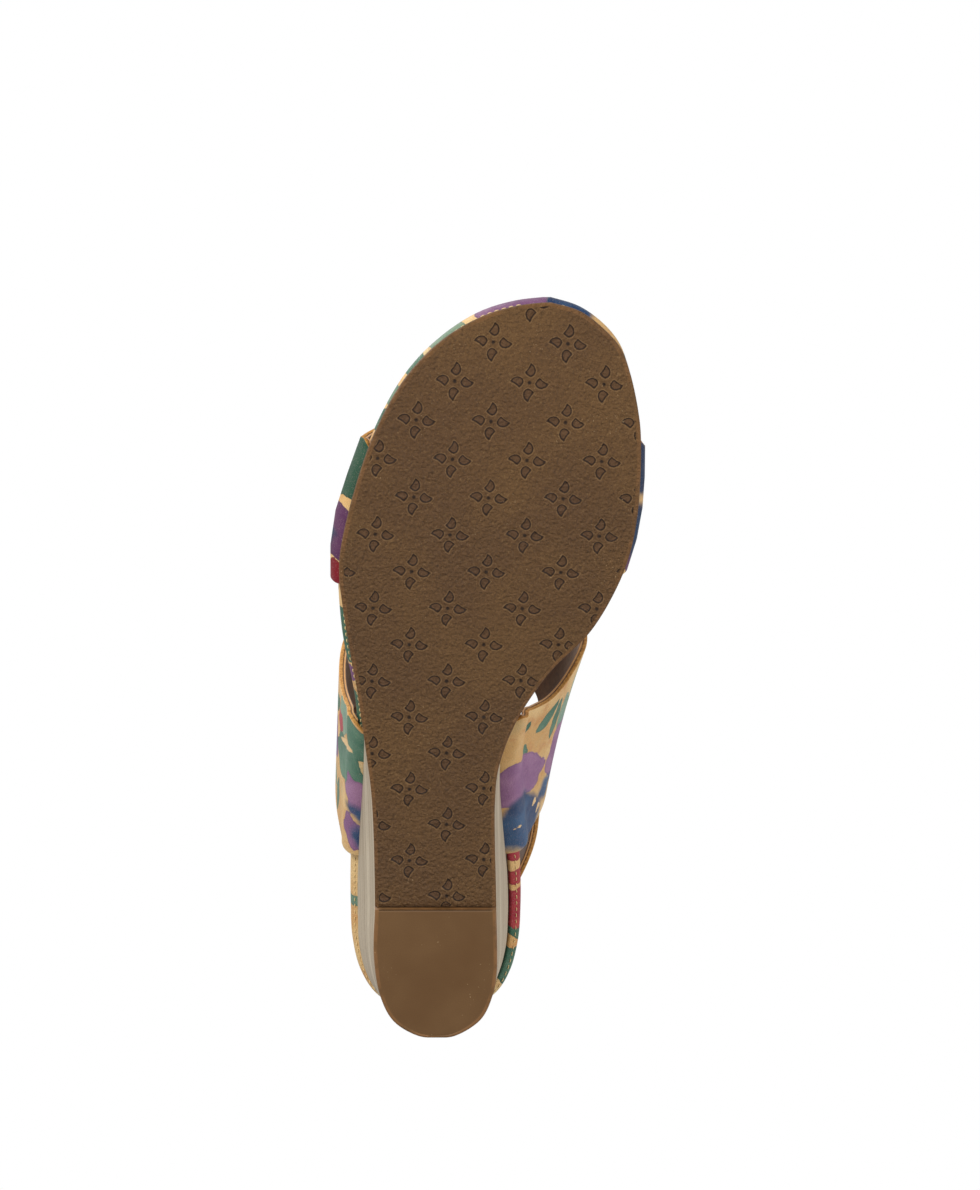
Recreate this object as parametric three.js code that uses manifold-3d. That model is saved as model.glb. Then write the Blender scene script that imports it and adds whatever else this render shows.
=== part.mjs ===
// A wedge sandal for the right foot, in millimetres, +Z up, toe towards -Y, inner side of the foot
// towards +X.
// Every layer follows one of two lines along the foot: the sole line under the outsole, or the seat line on
// top of the outsole and the wedge. Heights above a line are measured square to it.
import * as THREE from "three";
import { mergeVertices } from "three/addons/utils/BufferGeometryUtils.js";
import Module from "manifold-3d";

const wasm = await Module();
wasm.setup();

// ---------- Driving dimensions ----------
const lastLength = 251; // toe tip to the back of the footbed
const soleRear = 94.9; // back of the sole, in per cent of the last's length
const ballWidth = 92.2; // outsole across the ball of the foot
const toeSpring = 14; // lift of the toe tip off the ground
const flatFrom = 100; // the sole touches the ground between these two stations
const flatTo = 124;
const breastRise = 1.8; // sole above the ground where it meets the top-lift
const heelRise = 42; // height that the wedge adds under the heel
const heelFlat = 16; // level stretch of the seat line at the back of the heel
const riseAhead = 29; // the seat line starts to climb this far in front of the shank
const wedgeAhead = 15; // and the wedge's front edge is this far in front of it
const outsoleThickness = 3;
const liftLength = 43; // heel top-lift, front to back
const coverThickness = 0.9; // sheet round the wedge
const marginThickness = 1.3; // leather of the straps, also where it is turned under the footbed
const liningThickness = 0.8;
const boardThickness = 1.8;
const foamThickness = 4.9;
const sockThickness = 1.2;
const wrapThickness = 1.2;
const shankLength = 86;
const shankWidth = 12;
const shankThickness = 1.4;
const shankToScrew = 12; // rear end of the shank to the heel screw
const screwRadius = 2;
const screwLength = 30;
const screwFromRear = 34; // heel screw to the back of the footbed
const rivetRadius = 1.6;
const rivetFromEnd = 8; // from each end of the shank
const nailRadius = 1;
const nailLength = 22;
const frontNails = { behindScrew: -7, apart: 24 };
const rearNails = { behindScrew: 14, apart: 22 };
const headHeight = 0.9; // of every rivet, screw and nail
const headRatio = 2.1; // head radius to shaft radius
const tipRatio = 0.35; // blunt tip radius to shaft radius
const taperRatio = 2.5; // length of the point to shaft radius
const pegRadius = 1.8;
const pegLength = 9; // above the top-lift
const pegsApart = 18;
const pegPlace = 0.42; // along the top-lift from its breast, as a share of its length
const backStrapHeight = 15;
const patchThickness = 0.9;
const patchWidth = 24; // across the foot's length
const gap = 0.3; // between neighbouring pieces
const slack = 0.1; // more room where a piece bends round the seat line
const layerGap = 0.1; // between two layers of one strap
const marginLength = 9; // strap leather turned under the footbed
const quarterReach = 0.54; // how far over the foot the outer quarter goes, as a share of the instep arch
const flapReach = 0.31; // where the flap's free end lies on the same arch
const foldAt = 0.68; // where the flap folds back, on the same arch
const foldGap = 0.5; // between the flap and the leg that it folds on
const topAt = 0.45; // top of the instep, on the same arch

// ---------- Lines along the foot ----------
const smooth = (t) => {
  const c = THREE.MathUtils.clamp(t, 0, 1);
  return c * c * (3 - 2 * c);
};
const alongLast = (percent) => (percent * lastLength) / 100;
const breast = alongLast(soleRear) - liftLength;
const screwAt = lastLength - screwFromRear;
const shankTo = screwAt - shankToScrew;
const shankFrom = shankTo - shankLength;
const wedgeFrom = shankFrom - wedgeAhead;
const riseFrom = shankFrom - riseAhead;
const riseTo = lastLength - heelFlat;

function soleHeight(y) {
  if (y < flatFrom) return toeSpring * Math.pow((flatFrom - y) / flatFrom, 2.4);
  return breastRise * smooth((y - flatTo) / (breast - flatTo));
}

function seatHeight(y) {
  const spring = y < flatFrom ? soleHeight(y) : 0;
  return outsoleThickness + spring + heelRise * smooth((y - riseFrom) / (riseTo - riseFrom));
}

// A point over (x, y), at a height measured square to a line.
function above(line, x, y, height) {
  const slope = line(y + 0.5) - line(y - 0.5);
  const length = Math.hypot(1, slope);
  return new THREE.Vector3(x, y - (slope / length) * height, line(y) + height / length);
}

// ---------- Outlines ----------
// Each side runs from the toe to the back of the heel, in per cent of the ball's width from the heel's
// centre line, and per cent of the last's length from the toe.
const soleInner = [
  [37.4, 0.1], [47.8, 1.2], [56.5, 3.6], [61.5, 5.8], [64.4, 8.7], [67, 13.2], [67.9, 16.7], [67, 25.3],
  [64.4, 30.8], [60.1, 35.3], [51.2, 41.2], [37.7, 46.6], [26.9, 52.9], [20.9, 59.1], [19.6, 63.7],
  [20, 77.7], [20.2, 86.1], [19, 89], [14.9, 92.4], [6.2, 94.6], [0, soleRear],
];
const soleOuter = [
  [37.4, 0.1], [26.2, 0.6], [14.6, 1.9], [1.6, 4.7], [-9.7, 8.9], [-19.1, 14.8], [-26.2, 22], [-31.7, 30.8],
  [-32.1, 34.1], [-31.2, 37.3], [-29, 42.8], [-26.2, 49.1], [-23.2, 57.4], [-21.4, 63.5], [-20.4, 77.7],
  [-20.8, 84], [-18.6, 89.4], [-14.1, 92.7], [-6, 94.6], [0, soleRear],
];
const seatInner = [
  [37.4, 0], [47.7, 1.2], [56.2, 3.5], [61, 5.8], [63.7, 8.6], [66.1, 13.1], [66.7, 16.7], [66.2, 25.3],
  [63.8, 30.8], [59.9, 35.4], [52.3, 41.4], [40.3, 47], [30.9, 53], [26.2, 59], [25.4, 64.5], [26.4, 71.7],
  [27.9, 79.7], [28.1, 85.7], [27.3, 90.4], [24.5, 94.4], [20, 97.2], [10.8, 99.4], [0, 100],
];
const seatOuter = [
  [37.4, 0], [26, 0.5], [14.3, 1.8], [1.3, 4.6], [-10.1, 8.8], [-19.5, 14.7], [-26.8, 21.9], [-31.9, 28.7],
  [-32.5, 34.3], [-32.1, 39], [-30.8, 44.4], [-28.1, 50.4], [-26.5, 55.8], [-26.7, 63.7], [-27.8, 71.7],
  [-28.6, 79.7], [-28.6, 85.7], [-28.1, 90], [-25.6, 94], [-20.3, 97.3], [-10.8, 99.4], [0, 100],
];
const onLast = ([across, along]) => [(across * ballWidth) / 100, alongLast(along)];

// One side of an outline as a fine polyline.
function side(points) {
  const curve = new THREE.CatmullRomCurve3(
    points.map((p) => new THREE.Vector3(...onLast(p), 0)),
    false,
    "centripetal",
  );
  return curve.getPoints(320).map((p) => [p.x, p.y]);
}

// An outline moved inwards by a distance for each side, square to itself.
function inset(outline, innerBy, outerBy = innerBy) {
  const moved = (points, by, turn) =>
    points.map(([x, y], i) => {
      const [ax, ay] = points[Math.max(i - 1, 0)];
      const [bx, by2] = points[Math.min(i + 1, points.length - 1)];
      const length = Math.hypot(bx - ax, by2 - ay);
      const last = i === points.length - 1;
      if (i === 0 || last) return [x, y + (last ? -by : by)];
      return [x - (turn * by * (by2 - ay)) / length, y + (turn * by * (bx - ax)) / length];
    });
  return { inner: moved(outline.inner, innerBy, 1), outer: moved(outline.outer, outerBy, -1) };
}

// Where one side of an outline crosses a station along the foot.
function crossing(points, y) {
  let i = 1;
  while (i < points.length - 1 && points[i][1] < y) i += 1;
  const [ax, ay] = points[i - 1];
  const [bx, by] = points[i];
  const t = THREE.MathUtils.clamp((y - ay) / Math.max(by - ay, 1e-6), 0, 1);
  return ax + (bx - ax) * t;
}
const frontOf = (outline) => outline.inner[0][1];
const rearOf = (outline) => outline.inner.at(-1)[1];

const soleOutline = { inner: side(soleInner), outer: side(soleOuter) };
const seatOutline = { inner: side(seatInner), outer: side(seatOuter) };
const lipInner = 3.9; // the wedge's upper edge stands inside the footbed's widest line by these
const lipOuter = 2.2;
const wedgeTop = inset(seatOutline, lipInner, lipOuter);

// ---------- Solids ----------
// A closed body from an ordered list of closed sections, with its ends zipped shut.
function skin(sections, loop = false) {
  const count = sections[0].length;
  const triangles = [];
  const quad = (a, b, c, d) => triangles.push(a, b, c, a, c, d);
  const spans = loop ? sections.length : sections.length - 1;
  for (let i = 0; i < spans; i += 1) {
    const here = sections[i];
    const next = sections[(i + 1) % sections.length];
    for (let k = 0; k < count; k += 1) {
      const m = (k + 1) % count;
      // Both faces of a sheet are split along the same diagonal, so that layers nest.
      if (k < count / 2) quad(here[k], here[m], next[m], next[k]);
      else quad(here[m], next[m], next[k], here[k]);
    }
  }
  const end = (s, flip) => {
    for (let k = 0; k < count / 2 - 1; k += 1) {
      const corners = [s[k], s[count - 1 - k], s[count - 2 - k], s[k + 1]];
      quad(...(flip ? corners.reverse() : corners));
    }
  };
  if (!loop) {
    end(sections[0], false);
    end(sections.at(-1), true);
  }
  return facingOut(triangles);
}

// A geometry from triangle corners, turned round if its faces point inwards.
function facingOut(corners) {
  let volume = 0;
  for (let i = 0; i < corners.length; i += 3) {
    volume += corners[i].dot(corners[i + 1].clone().cross(corners[i + 2]));
  }
  const ordered = volume < 0 ? corners.slice().reverse() : corners;
  const geometry = new THREE.BufferGeometry().setFromPoints(ordered);
  return mergeVertices(geometry, 1e-4);
}

function toSolid(geometry) {
  const bare = new THREE.BufferGeometry();
  bare.setAttribute("position", geometry.getAttribute("position"));
  if (geometry.index) bare.setIndex(geometry.index);
  const merged = mergeVertices(bare, 1e-4);
  return new wasm.Manifold(
    new wasm.Mesh({
      numProp: 3,
      vertProperties: merged.attributes.position.array,
      triVerts: new Uint32Array(merged.index.array),
    }),
  );
}

function cut(geometry, tools) {
  let solid = toSolid(geometry);
  for (const tool of tools) solid = solid.subtract(toSolid(tool));
  const mesh = solid.getMesh();
  const result = new THREE.BufferGeometry();
  result.setAttribute("position", new THREE.BufferAttribute(mesh.vertProperties, 3));
  result.setIndex(new THREE.BufferAttribute(mesh.triVerts, 1));
  return result;
}

// Stations that crowd together at a rounded end.
function stations(from, to, rows) {
  return Array.from({ length: rows + 1 }, (_, i) => {
    const share = (1 - Math.cos((Math.PI * i) / rows)) / 2;
    return from + (to - from) * share;
  });
}
const tipTrim = 0.2; // a rounded end is closed this far before its tip

// A layer between two levels. A level has an outline, a line to follow and a height above it.
function layer(lower, upper, range, rows) {
  const row = (level, share) => {
    const front = Math.max(range.from, frontOf(level.outline) + tipTrim);
    const rear = Math.min(range.to, rearOf(level.outline) - tipTrim);
    const y = front + (rear - front) * share;
    return [level.outline.outer, level.outline.inner].map((points) =>
      above(level.line, crossing(points, y), y, level.height),
    );
  };
  return skin(
    stations(0, 1, rows).map((share) => [...row(lower, share), ...row(upper, share).reverse()]),
  );
}
const whole = { from: -Infinity, to: Infinity };
const onSeat = (outline, height) => ({ outline, line: seatHeight, height });

// ---------- Outsole and top-lift ----------
const sole = (height) => ({ outline: soleOutline, line: soleHeight, height });
const soleTop = (y) => soleHeight(y) + outsoleThickness;
const outsoleRange = { from: 0, to: breast - gap / 2 };
const outsole = layer(sole(0), { outline: soleOutline, line: soleTop, height: 0 }, outsoleRange, 40);

const liftTop = breastRise + outsoleThickness;
const level = (outline, height) => ({ outline, line: () => 0, height });
const liftRange = { from: breast + gap / 2, to: Infinity };
const liftBody = layer(level(soleOutline, 0), level(soleOutline, liftTop), liftRange, 18);

// ---------- Wedge ----------
const wedgeBottom = (y) => (y < breast ? soleHeight(y) + outsoleThickness : liftTop);
const wedgeRows = 42;
const wedgeRange = { from: wedgeFrom, to: Infinity };
const wedgeSideGap = coverThickness + gap + 2 * slack;
const coreBody = layer(
  { outline: inset(soleOutline, wedgeSideGap), line: wedgeBottom, height: gap },
  onSeat(inset(wedgeTop, wedgeSideGap), 0),
  wedgeRange,
  wedgeRows,
);

// The sheet round the wedge: down the outer side, round the heel and back up the inner side.
function sheetRoundWedge() {
  const shares = stations(0, 1, wedgeRows);
  const levels = [
    [soleOutline, wedgeBottom, gap],
    [wedgeTop, seatHeight, 0],
    [inset(wedgeTop, coverThickness), seatHeight, 0],
    [inset(soleOutline, coverThickness), wedgeBottom, gap],
  ];
  const section = (share, key) =>
    levels.map(([outline, line, height]) => {
      const rear = rearOf(outline) - tipTrim;
      const y = wedgeFrom + (rear - wedgeFrom) * share;
      return above(line, crossing(outline[key], y), y, height);
    });
  const outer = shares.map((share) => section(share, "outer"));
  const inner = shares.map((share) => section(share, "inner")).reverse();
  return skin([...outer, ...inner]);
}

// ---------- Footbed ----------
const boardFrom = marginThickness + 2 * gap + slack;
const boardTo = boardFrom + boardThickness;
const foamTo = boardTo + gap + foamThickness;
const sockTo = foamTo + gap + sockThickness;
const footbedRows = 40;
const boardOutline = inset(seatOutline, lipInner + gap);
const foamInset = 1.4; // from the wrap's inner face, which curls in under the foam
const foamOutline = inset(seatOutline, wrapThickness + foamInset);
const sockOutline = inset(seatOutline, wrapThickness + gap + 4 * slack);
const boardBody = layer(onSeat(boardOutline, boardFrom), onSeat(boardOutline, boardTo), whole, footbedRows);
const foamBody = layer(onSeat(foamOutline, boardTo + gap), onSeat(foamOutline, foamTo), whole, footbedRows);
const sock = layer(onSeat(sockOutline, foamTo + gap), onSeat(sockOutline, sockTo), whole, footbedRows);

// The strip round the footbed: its section, as inset and height, is carried round the outline.
function strip() {
  const waist = boardFrom + 1.6;
  const crown = boardFrom + 4;
  const section = [
    [lipOuter + 0.6, boardFrom],
    [1, waist],
    [0, crown],
    [0.3, sockTo],
    [0.3 + wrapThickness, sockTo],
    [wrapThickness, crown],
    [1.1 + wrapThickness, waist + 0.4],
    [lipOuter + 0.6 + wrapThickness, boardFrom + 0.7],
  ];
  const levels = section.map(([by, height]) => ({ outline: inset(seatOutline, by), height }));
  const at = (share, key) =>
    levels.map(({ outline, height }) => {
      const front = frontOf(outline) + tipTrim;
      const y = front + (rearOf(outline) - tipTrim - front) * share;
      return above(seatHeight, crossing(outline[key], y), y, height);
    });
  const shares = stations(0, 1, footbedRows);
  const outer = shares.map((share) => at(share, "outer"));
  const inner = shares.map((share) => at(share, "inner")).reverse();
  return skin([...outer, ...inner], true);
}

// ---------- Bottom filler, shank and fasteners ----------
// A turned piece standing square to the seat line, its profile given as radius and height above that line.
function turned(profile, x, y, segments = 10) {
  const geometry = new THREE.LatheGeometry(profile.map(([r, h]) => new THREE.Vector2(r, h)), segments);
  const foot = above(seatHeight, x, y, 0);
  const axis = above(seatHeight, x, y, 1).sub(foot);
  geometry.applyQuaternion(new THREE.Quaternion().setFromUnitVectors(new THREE.Vector3(0, 1, 0), axis));
  geometry.translate(foot.x, foot.y, foot.z);
  return geometry;
}
// The same profile grown by the gap, square to each of its faces, to cut its hole.
function clearance(profile) {
  const faces = profile.slice(1).map(([r, h], i) => {
    const [r0, h0] = profile[i];
    return new THREE.Vector2(h - h0, r0 - r).normalize();
  });
  return profile.map(([r, h], i) => {
    const before = faces[Math.max(i - 1, 0)];
    const after = faces[Math.min(i, faces.length - 1)];
    const grow = before.clone().add(after).multiplyScalar(gap / (1 + before.dot(after)));
    return [r === 0 ? 0 : r + grow.x, h + grow.y];
  });
}

const driven = (radius, length) => [
  [0, boardTo - length],
  [radius * tipRatio, boardTo - length],
  [radius, boardTo - length + radius * taperRatio],
  [radius, boardTo],
  [radius * headRatio, boardTo],
  [radius * headRatio, boardTo + headHeight],
  [0, boardTo + headHeight],
];
const shankTop = -0.1;
const shankBottom = shankTop - shankThickness;
const riveted = [
  [0, shankBottom - headHeight],
  [rivetRadius * headRatio, shankBottom - headHeight],
  [rivetRadius * headRatio, shankBottom],
  [rivetRadius, shankBottom],
  [rivetRadius, boardTo],
  [rivetRadius * headRatio, boardTo],
  [rivetRadius * headRatio, boardTo + headHeight],
  [0, boardTo + headHeight],
];
function bar(halfWidth, low, high, from, to) {
  const rows = 24;
  return skin(
    Array.from({ length: rows + 1 }, (_, i) => {
      const y = from + ((to - from) * i) / rows;
      return [
        above(seatHeight, -halfWidth, y, low),
        above(seatHeight, halfWidth, y, low),
        above(seatHeight, halfWidth, y, high),
        above(seatHeight, -halfWidth, y, high),
      ];
    }),
  );
}
const shankBlank = bar(shankWidth / 2, shankBottom, shankTop, shankFrom, shankTo);
const shankSeat = bar(shankWidth / 2 + gap, shankBottom - gap, 1, shankFrom - gap, shankTo + gap);

const nailPlaces = [frontNails, rearNails].flatMap(({ behindScrew, apart }) =>
  [-apart / 2, apart / 2].map((x) => [x, screwAt + behindScrew]),
);
const fasteners = [
  ["shank_rivet_front", riveted, 0, shankFrom + rivetFromEnd],
  ["shank_rivet_rear", riveted, 0, shankTo - rivetFromEnd],
  ["heel_screw", driven(screwRadius, screwLength), 0, screwAt],
  ...nailPlaces.map(([x, y], i) => [`heel_nail_${i + 1}`, driven(nailRadius, nailLength), x, y]),
];
const holes = fasteners.map(([, profile, x, y]) => turned(clearance(profile), x, y));

const pegBottom = liftTop / 3;
const pegPlaces = [-1, 1].map((way) => [(way * pegsApart) / 2, breast + liftLength * pegPlace]);
const peg = (radius, low, high, [x, y]) => {
  const geometry = new THREE.CylinderGeometry(radius, radius, high - low, 12);
  geometry.rotateX(Math.PI / 2);
  geometry.translate(x, y, (low + high) / 2);
  return geometry;
};
const pegTop = liftTop + gap + pegLength;
const pegHoles = pegPlaces.map((place) => peg(pegRadius + gap, pegBottom - gap, pegTop + gap, place));

// ---------- Straps ----------
// A strap's outer face is ruled between a front edge and a rear edge. Each edge is a smooth curve through
// points given as per cent of the ball's width, per cent of the last's length, and height above the seat
// line.
const toeStrap = {
  front: [
    [-17.4, 18.3, 22.5], [-4.3, 17.1, 30], [15.2, 16.3, 35.7], [36.9, 16.3, 34.7], [54.2, 17.1, 27],
    [64, 17.9, 18.3],
  ],
  rear: [
    [-33.2, 35.2, 23.8], [-27.1, 34.9, 34.7], [-10.8, 33.9, 45.7], [10.8, 33.1, 50.6], [32.5, 33.1, 48.6],
    [49.9, 33.5, 40.6], [61.8, 34.1, 29.7],
  ],
  outerStations: [18.7, 35.5],
  innerStations: [18.3, 34.5],
};
const instepStrap = {
  front: [
    [-31.9, 54.9, 21.4], [-32.5, 53.4, 37.7], [-29.8, 51.8, 55.2], [-20.6, 49.4, 70.2], [-5.4, 47.6, 78.5],
    [8.7, 47, 80.9], [26, 47.6, 78.5], [40.1, 49, 70.5], [47.7, 50.4, 59.4], [50.5, 51.4, 47.5],
    [46.2, 53.1, 32], [40, 54.6, 20.6],
  ],
  rear: [
    [-33.8, 73.7, 27.5], [-33.1, 69.7, 42.6], [-27.1, 64.9, 59.8], [-10.8, 61, 74.1], [7.6, 59.8, 77.4],
    [23.9, 60.6, 73], [34.9, 62.5, 60.4], [37.1, 68.1, 43.3], [36.6, 73.5, 26.8],
  ],
  outerStations: [57.5, 76.9],
  innerStations: [56.5, 76.5],
};
// The lower edge of the back strap between the two legs of the instep strap, from outside to inside.
const backLower = [
  [-29.8, 78.6, 28], [-27, 85.5, 29], [-16.5, 94.2, 33], [0, 97.8, 35], [16.5, 94.2, 33], [28.2, 85.5, 29],
  [32.5, 81.2, 28], [34.3, 77.6, 27.8],
];
// Where it lies inside each leg, as shares along the instep arch and from its front edge to its rear edge.
const backInOuterLeg = [[0.15, 0.62], [0.145, 0.8], [0.125, 0.97]];
const backInInnerLeg = [[0.883, 0.97], [0.862, 0.88], [0.84, 0.75]];
const backLean = 0.9; // the upper edge of the back strap stands in towards the ankle
const ankleStation = 78;
const lapClimb = 0.06; // height of its lapped ends on each leg, as a share of the instep arch

const strapTotal = marginThickness + layerGap + liningThickness;
const columns = 4;
const archRows = 34;
const placed = ([across, along, height]) => {
  const [x, y] = onLast([across, along]);
  return new THREE.Vector3(x, y, seatHeight(y) + height);
};
const evenly = (points, rows) =>
  new THREE.CatmullRomCurve3(points, false, "centripetal").getSpacedPoints(rows);

// The way up round the footbed's edge: distance outside the footbed's outline, height above the seat line.
const wayUp = [
  [-lipInner - marginLength, gap],
  [-lipInner - 2, gap],
  [-lipInner + 0.8, gap + 0.05],
  [strapTotal - 1.9, 1.5],
  [strapTotal - 0.2, 3.5],
  [strapTotal + 0.7, 6.3],
  [strapTotal + 0.8, sockTo],
];
const liningRow = 4; // the lining stops here, and only the outer leather goes on under the footbed
const footRows = wayUp.length - 1;

// The points of the way up, at a station on one side of the footbed.
function aroundEdge(key, along) {
  const y = alongLast(along);
  const x = crossing(seatOutline[key], y);
  const outwards = key === "inner" ? 1 : -1;
  return wayUp.map(([out, height]) => above(seatHeight, x + outwards * out, y, height));
}

// A strap's face as rows of points, from under the outer side of the footbed to under its inner side.
function strapGrid(strap) {
  const feet = (key, end) => aroundEdge(key, strap[`${key}Stations`][end]);
  const arches = [strap.front, strap.rear].map((keys, end) =>
    evenly([feet("outer", end).at(-1), ...keys.map(placed), feet("inner", end).at(-1)], archRows),
  );
  const foot = (key) => {
    const [from, to] = strap[`${key}Stations`];
    const lines = [];
    for (let c = 0; c <= columns; c += 1) lines.push(aroundEdge(key, from + ((to - from) * c) / columns));
    return wayUp.map((_, row) => lines.map((line) => line[row]));
  };
  const arch = arches[0].slice(1, -1).map((front, i) => {
    const rear = arches[1][i + 1];
    return Array.from({ length: columns + 1 }, (_, c) => front.clone().lerp(rear, c / columns));
  });
  return [...foot("outer"), ...arch, ...foot("inner").reverse()];
}

function normalsOf(grid, outwards) {
  const bottom = grid.length - 1;
  const right = grid[0].length - 1;
  return grid.map((row, r) =>
    row.map((_, c) => {
      const along = grid[Math.min(r + 1, bottom)][c].clone().sub(grid[Math.max(r - 1, 0)][c]);
      const across = row[Math.min(c + 1, right)].clone().sub(row[Math.max(c - 1, 0)]);
      return along.cross(across).normalize().multiplyScalar(outwards);
    }),
  );
}

// A sheet that follows rows of a face, between two depths under it. A depth may change from row to row.
function sheet(face, rows, depths, outwards = 1, share = [0, 1]) {
  const normals = normalsOf(face, outwards);
  const sections = [];
  for (let r = rows[0]; r <= rows[1]; r += 1) {
    const at = (depth) => {
      const edge = face[r].map((p, c) => p.clone().addScaledVector(normals[r][c], -depth(r)));
      const last = edge.length - 1;
      return Array.from({ length: last + 1 }, (_, c) => {
        const place = (share[0] + ((share[1] - share[0]) * c) / last) * last;
        const i = Math.min(Math.floor(place), last - 1);
        return edge[i].clone().lerp(edge[i + 1], place - i);
      });
    };
    sections.push([...at(depths[0]), ...at(depths[1]).reverse()]);
  }
  return sections;
}
const flat = (depth) => () => depth;
const outerLayer = [flat(0), flat(marginThickness)];
const liningLayer = [flat(marginThickness + layerGap), flat(strapTotal)];

const toeFace = strapGrid(toeStrap);
const instepFace = strapGrid(instepStrap);
const lastRow = instepFace.length - 1;
const archRow = (share) => footRows + Math.round(share * archRows);

const toeOuter = skin(sheet(toeFace, [0, lastRow], outerLayer));
const toeLining = skin(sheet(toeFace, [liningRow, lastRow - liningRow], liningLayer));

const quarterEnd = archRow(quarterReach);
const foldRow = archRow(foldAt);
const flapEnd = archRow(flapReach);
const quarterOuter = skin(sheet(instepFace, [0, quarterEnd], outerLayer));
const quarterLining = skin(sheet(instepFace, [liningRow, quarterEnd], liningLayer));
const legOuter = skin(sheet(instepFace, [foldRow, lastRow], outerLayer));
const legLining = skin(sheet(instepFace, [foldRow, lastRow - liningRow], liningLayer));

// The flap rises from the leg's level at the fold to lie over the quarter and the two closing patches.
const loopFrom = layerGap;
const loopTo = loopFrom + patchThickness;
const hookFrom = loopTo + gap;
const hookTo = hookFrom + patchThickness;
const flapHeight = hookTo + layerGap + strapTotal;
const rise = (row) => flapHeight * smooth((foldRow - row) / (foldRow - quarterEnd - 1));
const flapLayer = (layerDepths) => layerDepths.map((depth) => (row) => depth(row) - rise(row));

// The flap's end at the fold is drawn back, so that it turns clear of the leg.
function drawnBack(sections) {
  const end = sections.at(-1);
  const before = sections.at(-2);
  const step = end[0].distanceTo(before[0]);
  const moved = end.map((p, i) => p.clone().lerp(before[i], foldGap / step));
  return [...sections.slice(0, -1), moved];
}
const flapOuter = skin(drawnBack(sheet(instepFace, [flapEnd, foldRow], flapLayer(outerLayer))));
const flapLining = skin(drawnBack(sheet(instepFace, [flapEnd, foldRow], flapLayer(liningLayer))));

const topRow = instepFace[archRow(topAt)];
const topWidth = topRow[0].distanceTo(topRow.at(-1));
const patchShare = [0.5 - patchWidth / topWidth / 2, 0.5 + patchWidth / topWidth / 2];
const patchRows = [flapEnd + 1, quarterEnd - 1];
const patch = (from, to) => skin(sheet(instepFace, patchRows, [flat(-to), flat(-from)], 1, patchShare));

// A point under the instep strap's face, at shares along its arch and across it.
const instepNormals = normalsOf(instepFace, 1);
function underInstep([along, across], depth) {
  const row = footRows + along * archRows;
  const r = Math.floor(row);
  const c = Math.min(Math.floor(across * columns), columns - 1);
  const mix = (grid) => {
    const near = grid[r][c].clone().lerp(grid[r][c + 1], across * columns - c);
    const far = grid[r + 1][c].clone().lerp(grid[r + 1][c + 1], across * columns - c);
    return near.lerp(far, row - r);
  };
  return mix(instepFace).addScaledVector(mix(instepNormals), -depth);
}
const backRows = 42;
const lapDepth = strapTotal + gap;
const ankle = alongLast(ankleStation);
const leanedUp = (low) =>
  new THREE.Vector3(low.x * backLean, ankle + (low.y - ankle) * backLean, low.z + backStrapHeight);
const backEdge = (climb, free) =>
  evenly(
    [
      ...backInOuterLeg.map(([along, across]) => underInstep([along + climb, across], lapDepth)),
      ...backLower.map(placed).map(free),
      ...backInInnerLeg.map(([along, across]) => underInstep([along - climb, across], lapDepth)),
    ],
    backRows,
  );
const lowerEdge = backEdge(0, (low) => low);
const upperEdge = backEdge(lapClimb, leanedUp);
const backFace = lowerEdge.map((low, i) => [low, low.clone().lerp(upperEdge[i], 0.5), upperEdge[i]]);
const backOuter = skin(sheet(backFace, [0, backRows], outerLayer, -1));
const backLining = skin(sheet(backFace, [0, backRows], liningLayer, -1));

// The filler is cut away where the straps are turned under the footbed.
const fillerOutline = inset(seatOutline, lipInner + 2 * gap);
const fillerBottom = onSeat(fillerOutline, gap);
const fillerTop = onSeat(fillerOutline, boardFrom - gap);
const fillerBlank = layer(fillerBottom, fillerTop, whole, footbedRows);
function strapNotches(strap) {
  return ["outer", "inner"].map((key) => {
    const [from, to] = strap[`${key}Stations`].map(alongLast);
    const outwards = key === "inner" ? 1 : -1;
    const reach = (share) => outwards * crossing(seatOutline[key], from + (to - from) * share);
    const marginEdge = Math.min(...[0, 0.25, 0.5, 0.75, 1].map(reach)) - lipInner - marginLength - gap;
    const length = to - from + 2 * (gap + marginThickness);
    const notch = new THREE.BoxGeometry(ballWidth, length, 4 * heelRise);
    notch.translate(outwards * (marginEdge + ballWidth / 2), (from + to) / 2, 0);
    return notch;
  });
}
const filler = cut(fillerBlank, [...strapNotches(toeStrap), ...strapNotches(instepStrap), ...holes]);

// ---------- The sandal ----------
const rubber = { color: 0x624a31, roughness: 0.85 };
const stacked = { color: 0xa89e8c, roughness: 0.6 };
const core = { color: 0xcfc5b0, roughness: 0.9 };
const painted = { color: 0x7d6a86, roughness: 0.45 };
const suede = { color: 0x6b5338, roughness: 0.95 };
const hide = { color: 0x8a6a45, roughness: 0.6 };
const board = { color: 0xb59a74, roughness: 0.95 };
const foam = { color: 0xe6dfcf, roughness: 1 };
const steel = { color: 0x9a9a9a, roughness: 0.4, metalness: 1 };
const tape = { color: 0x3a2c20, roughness: 1 };

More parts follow.
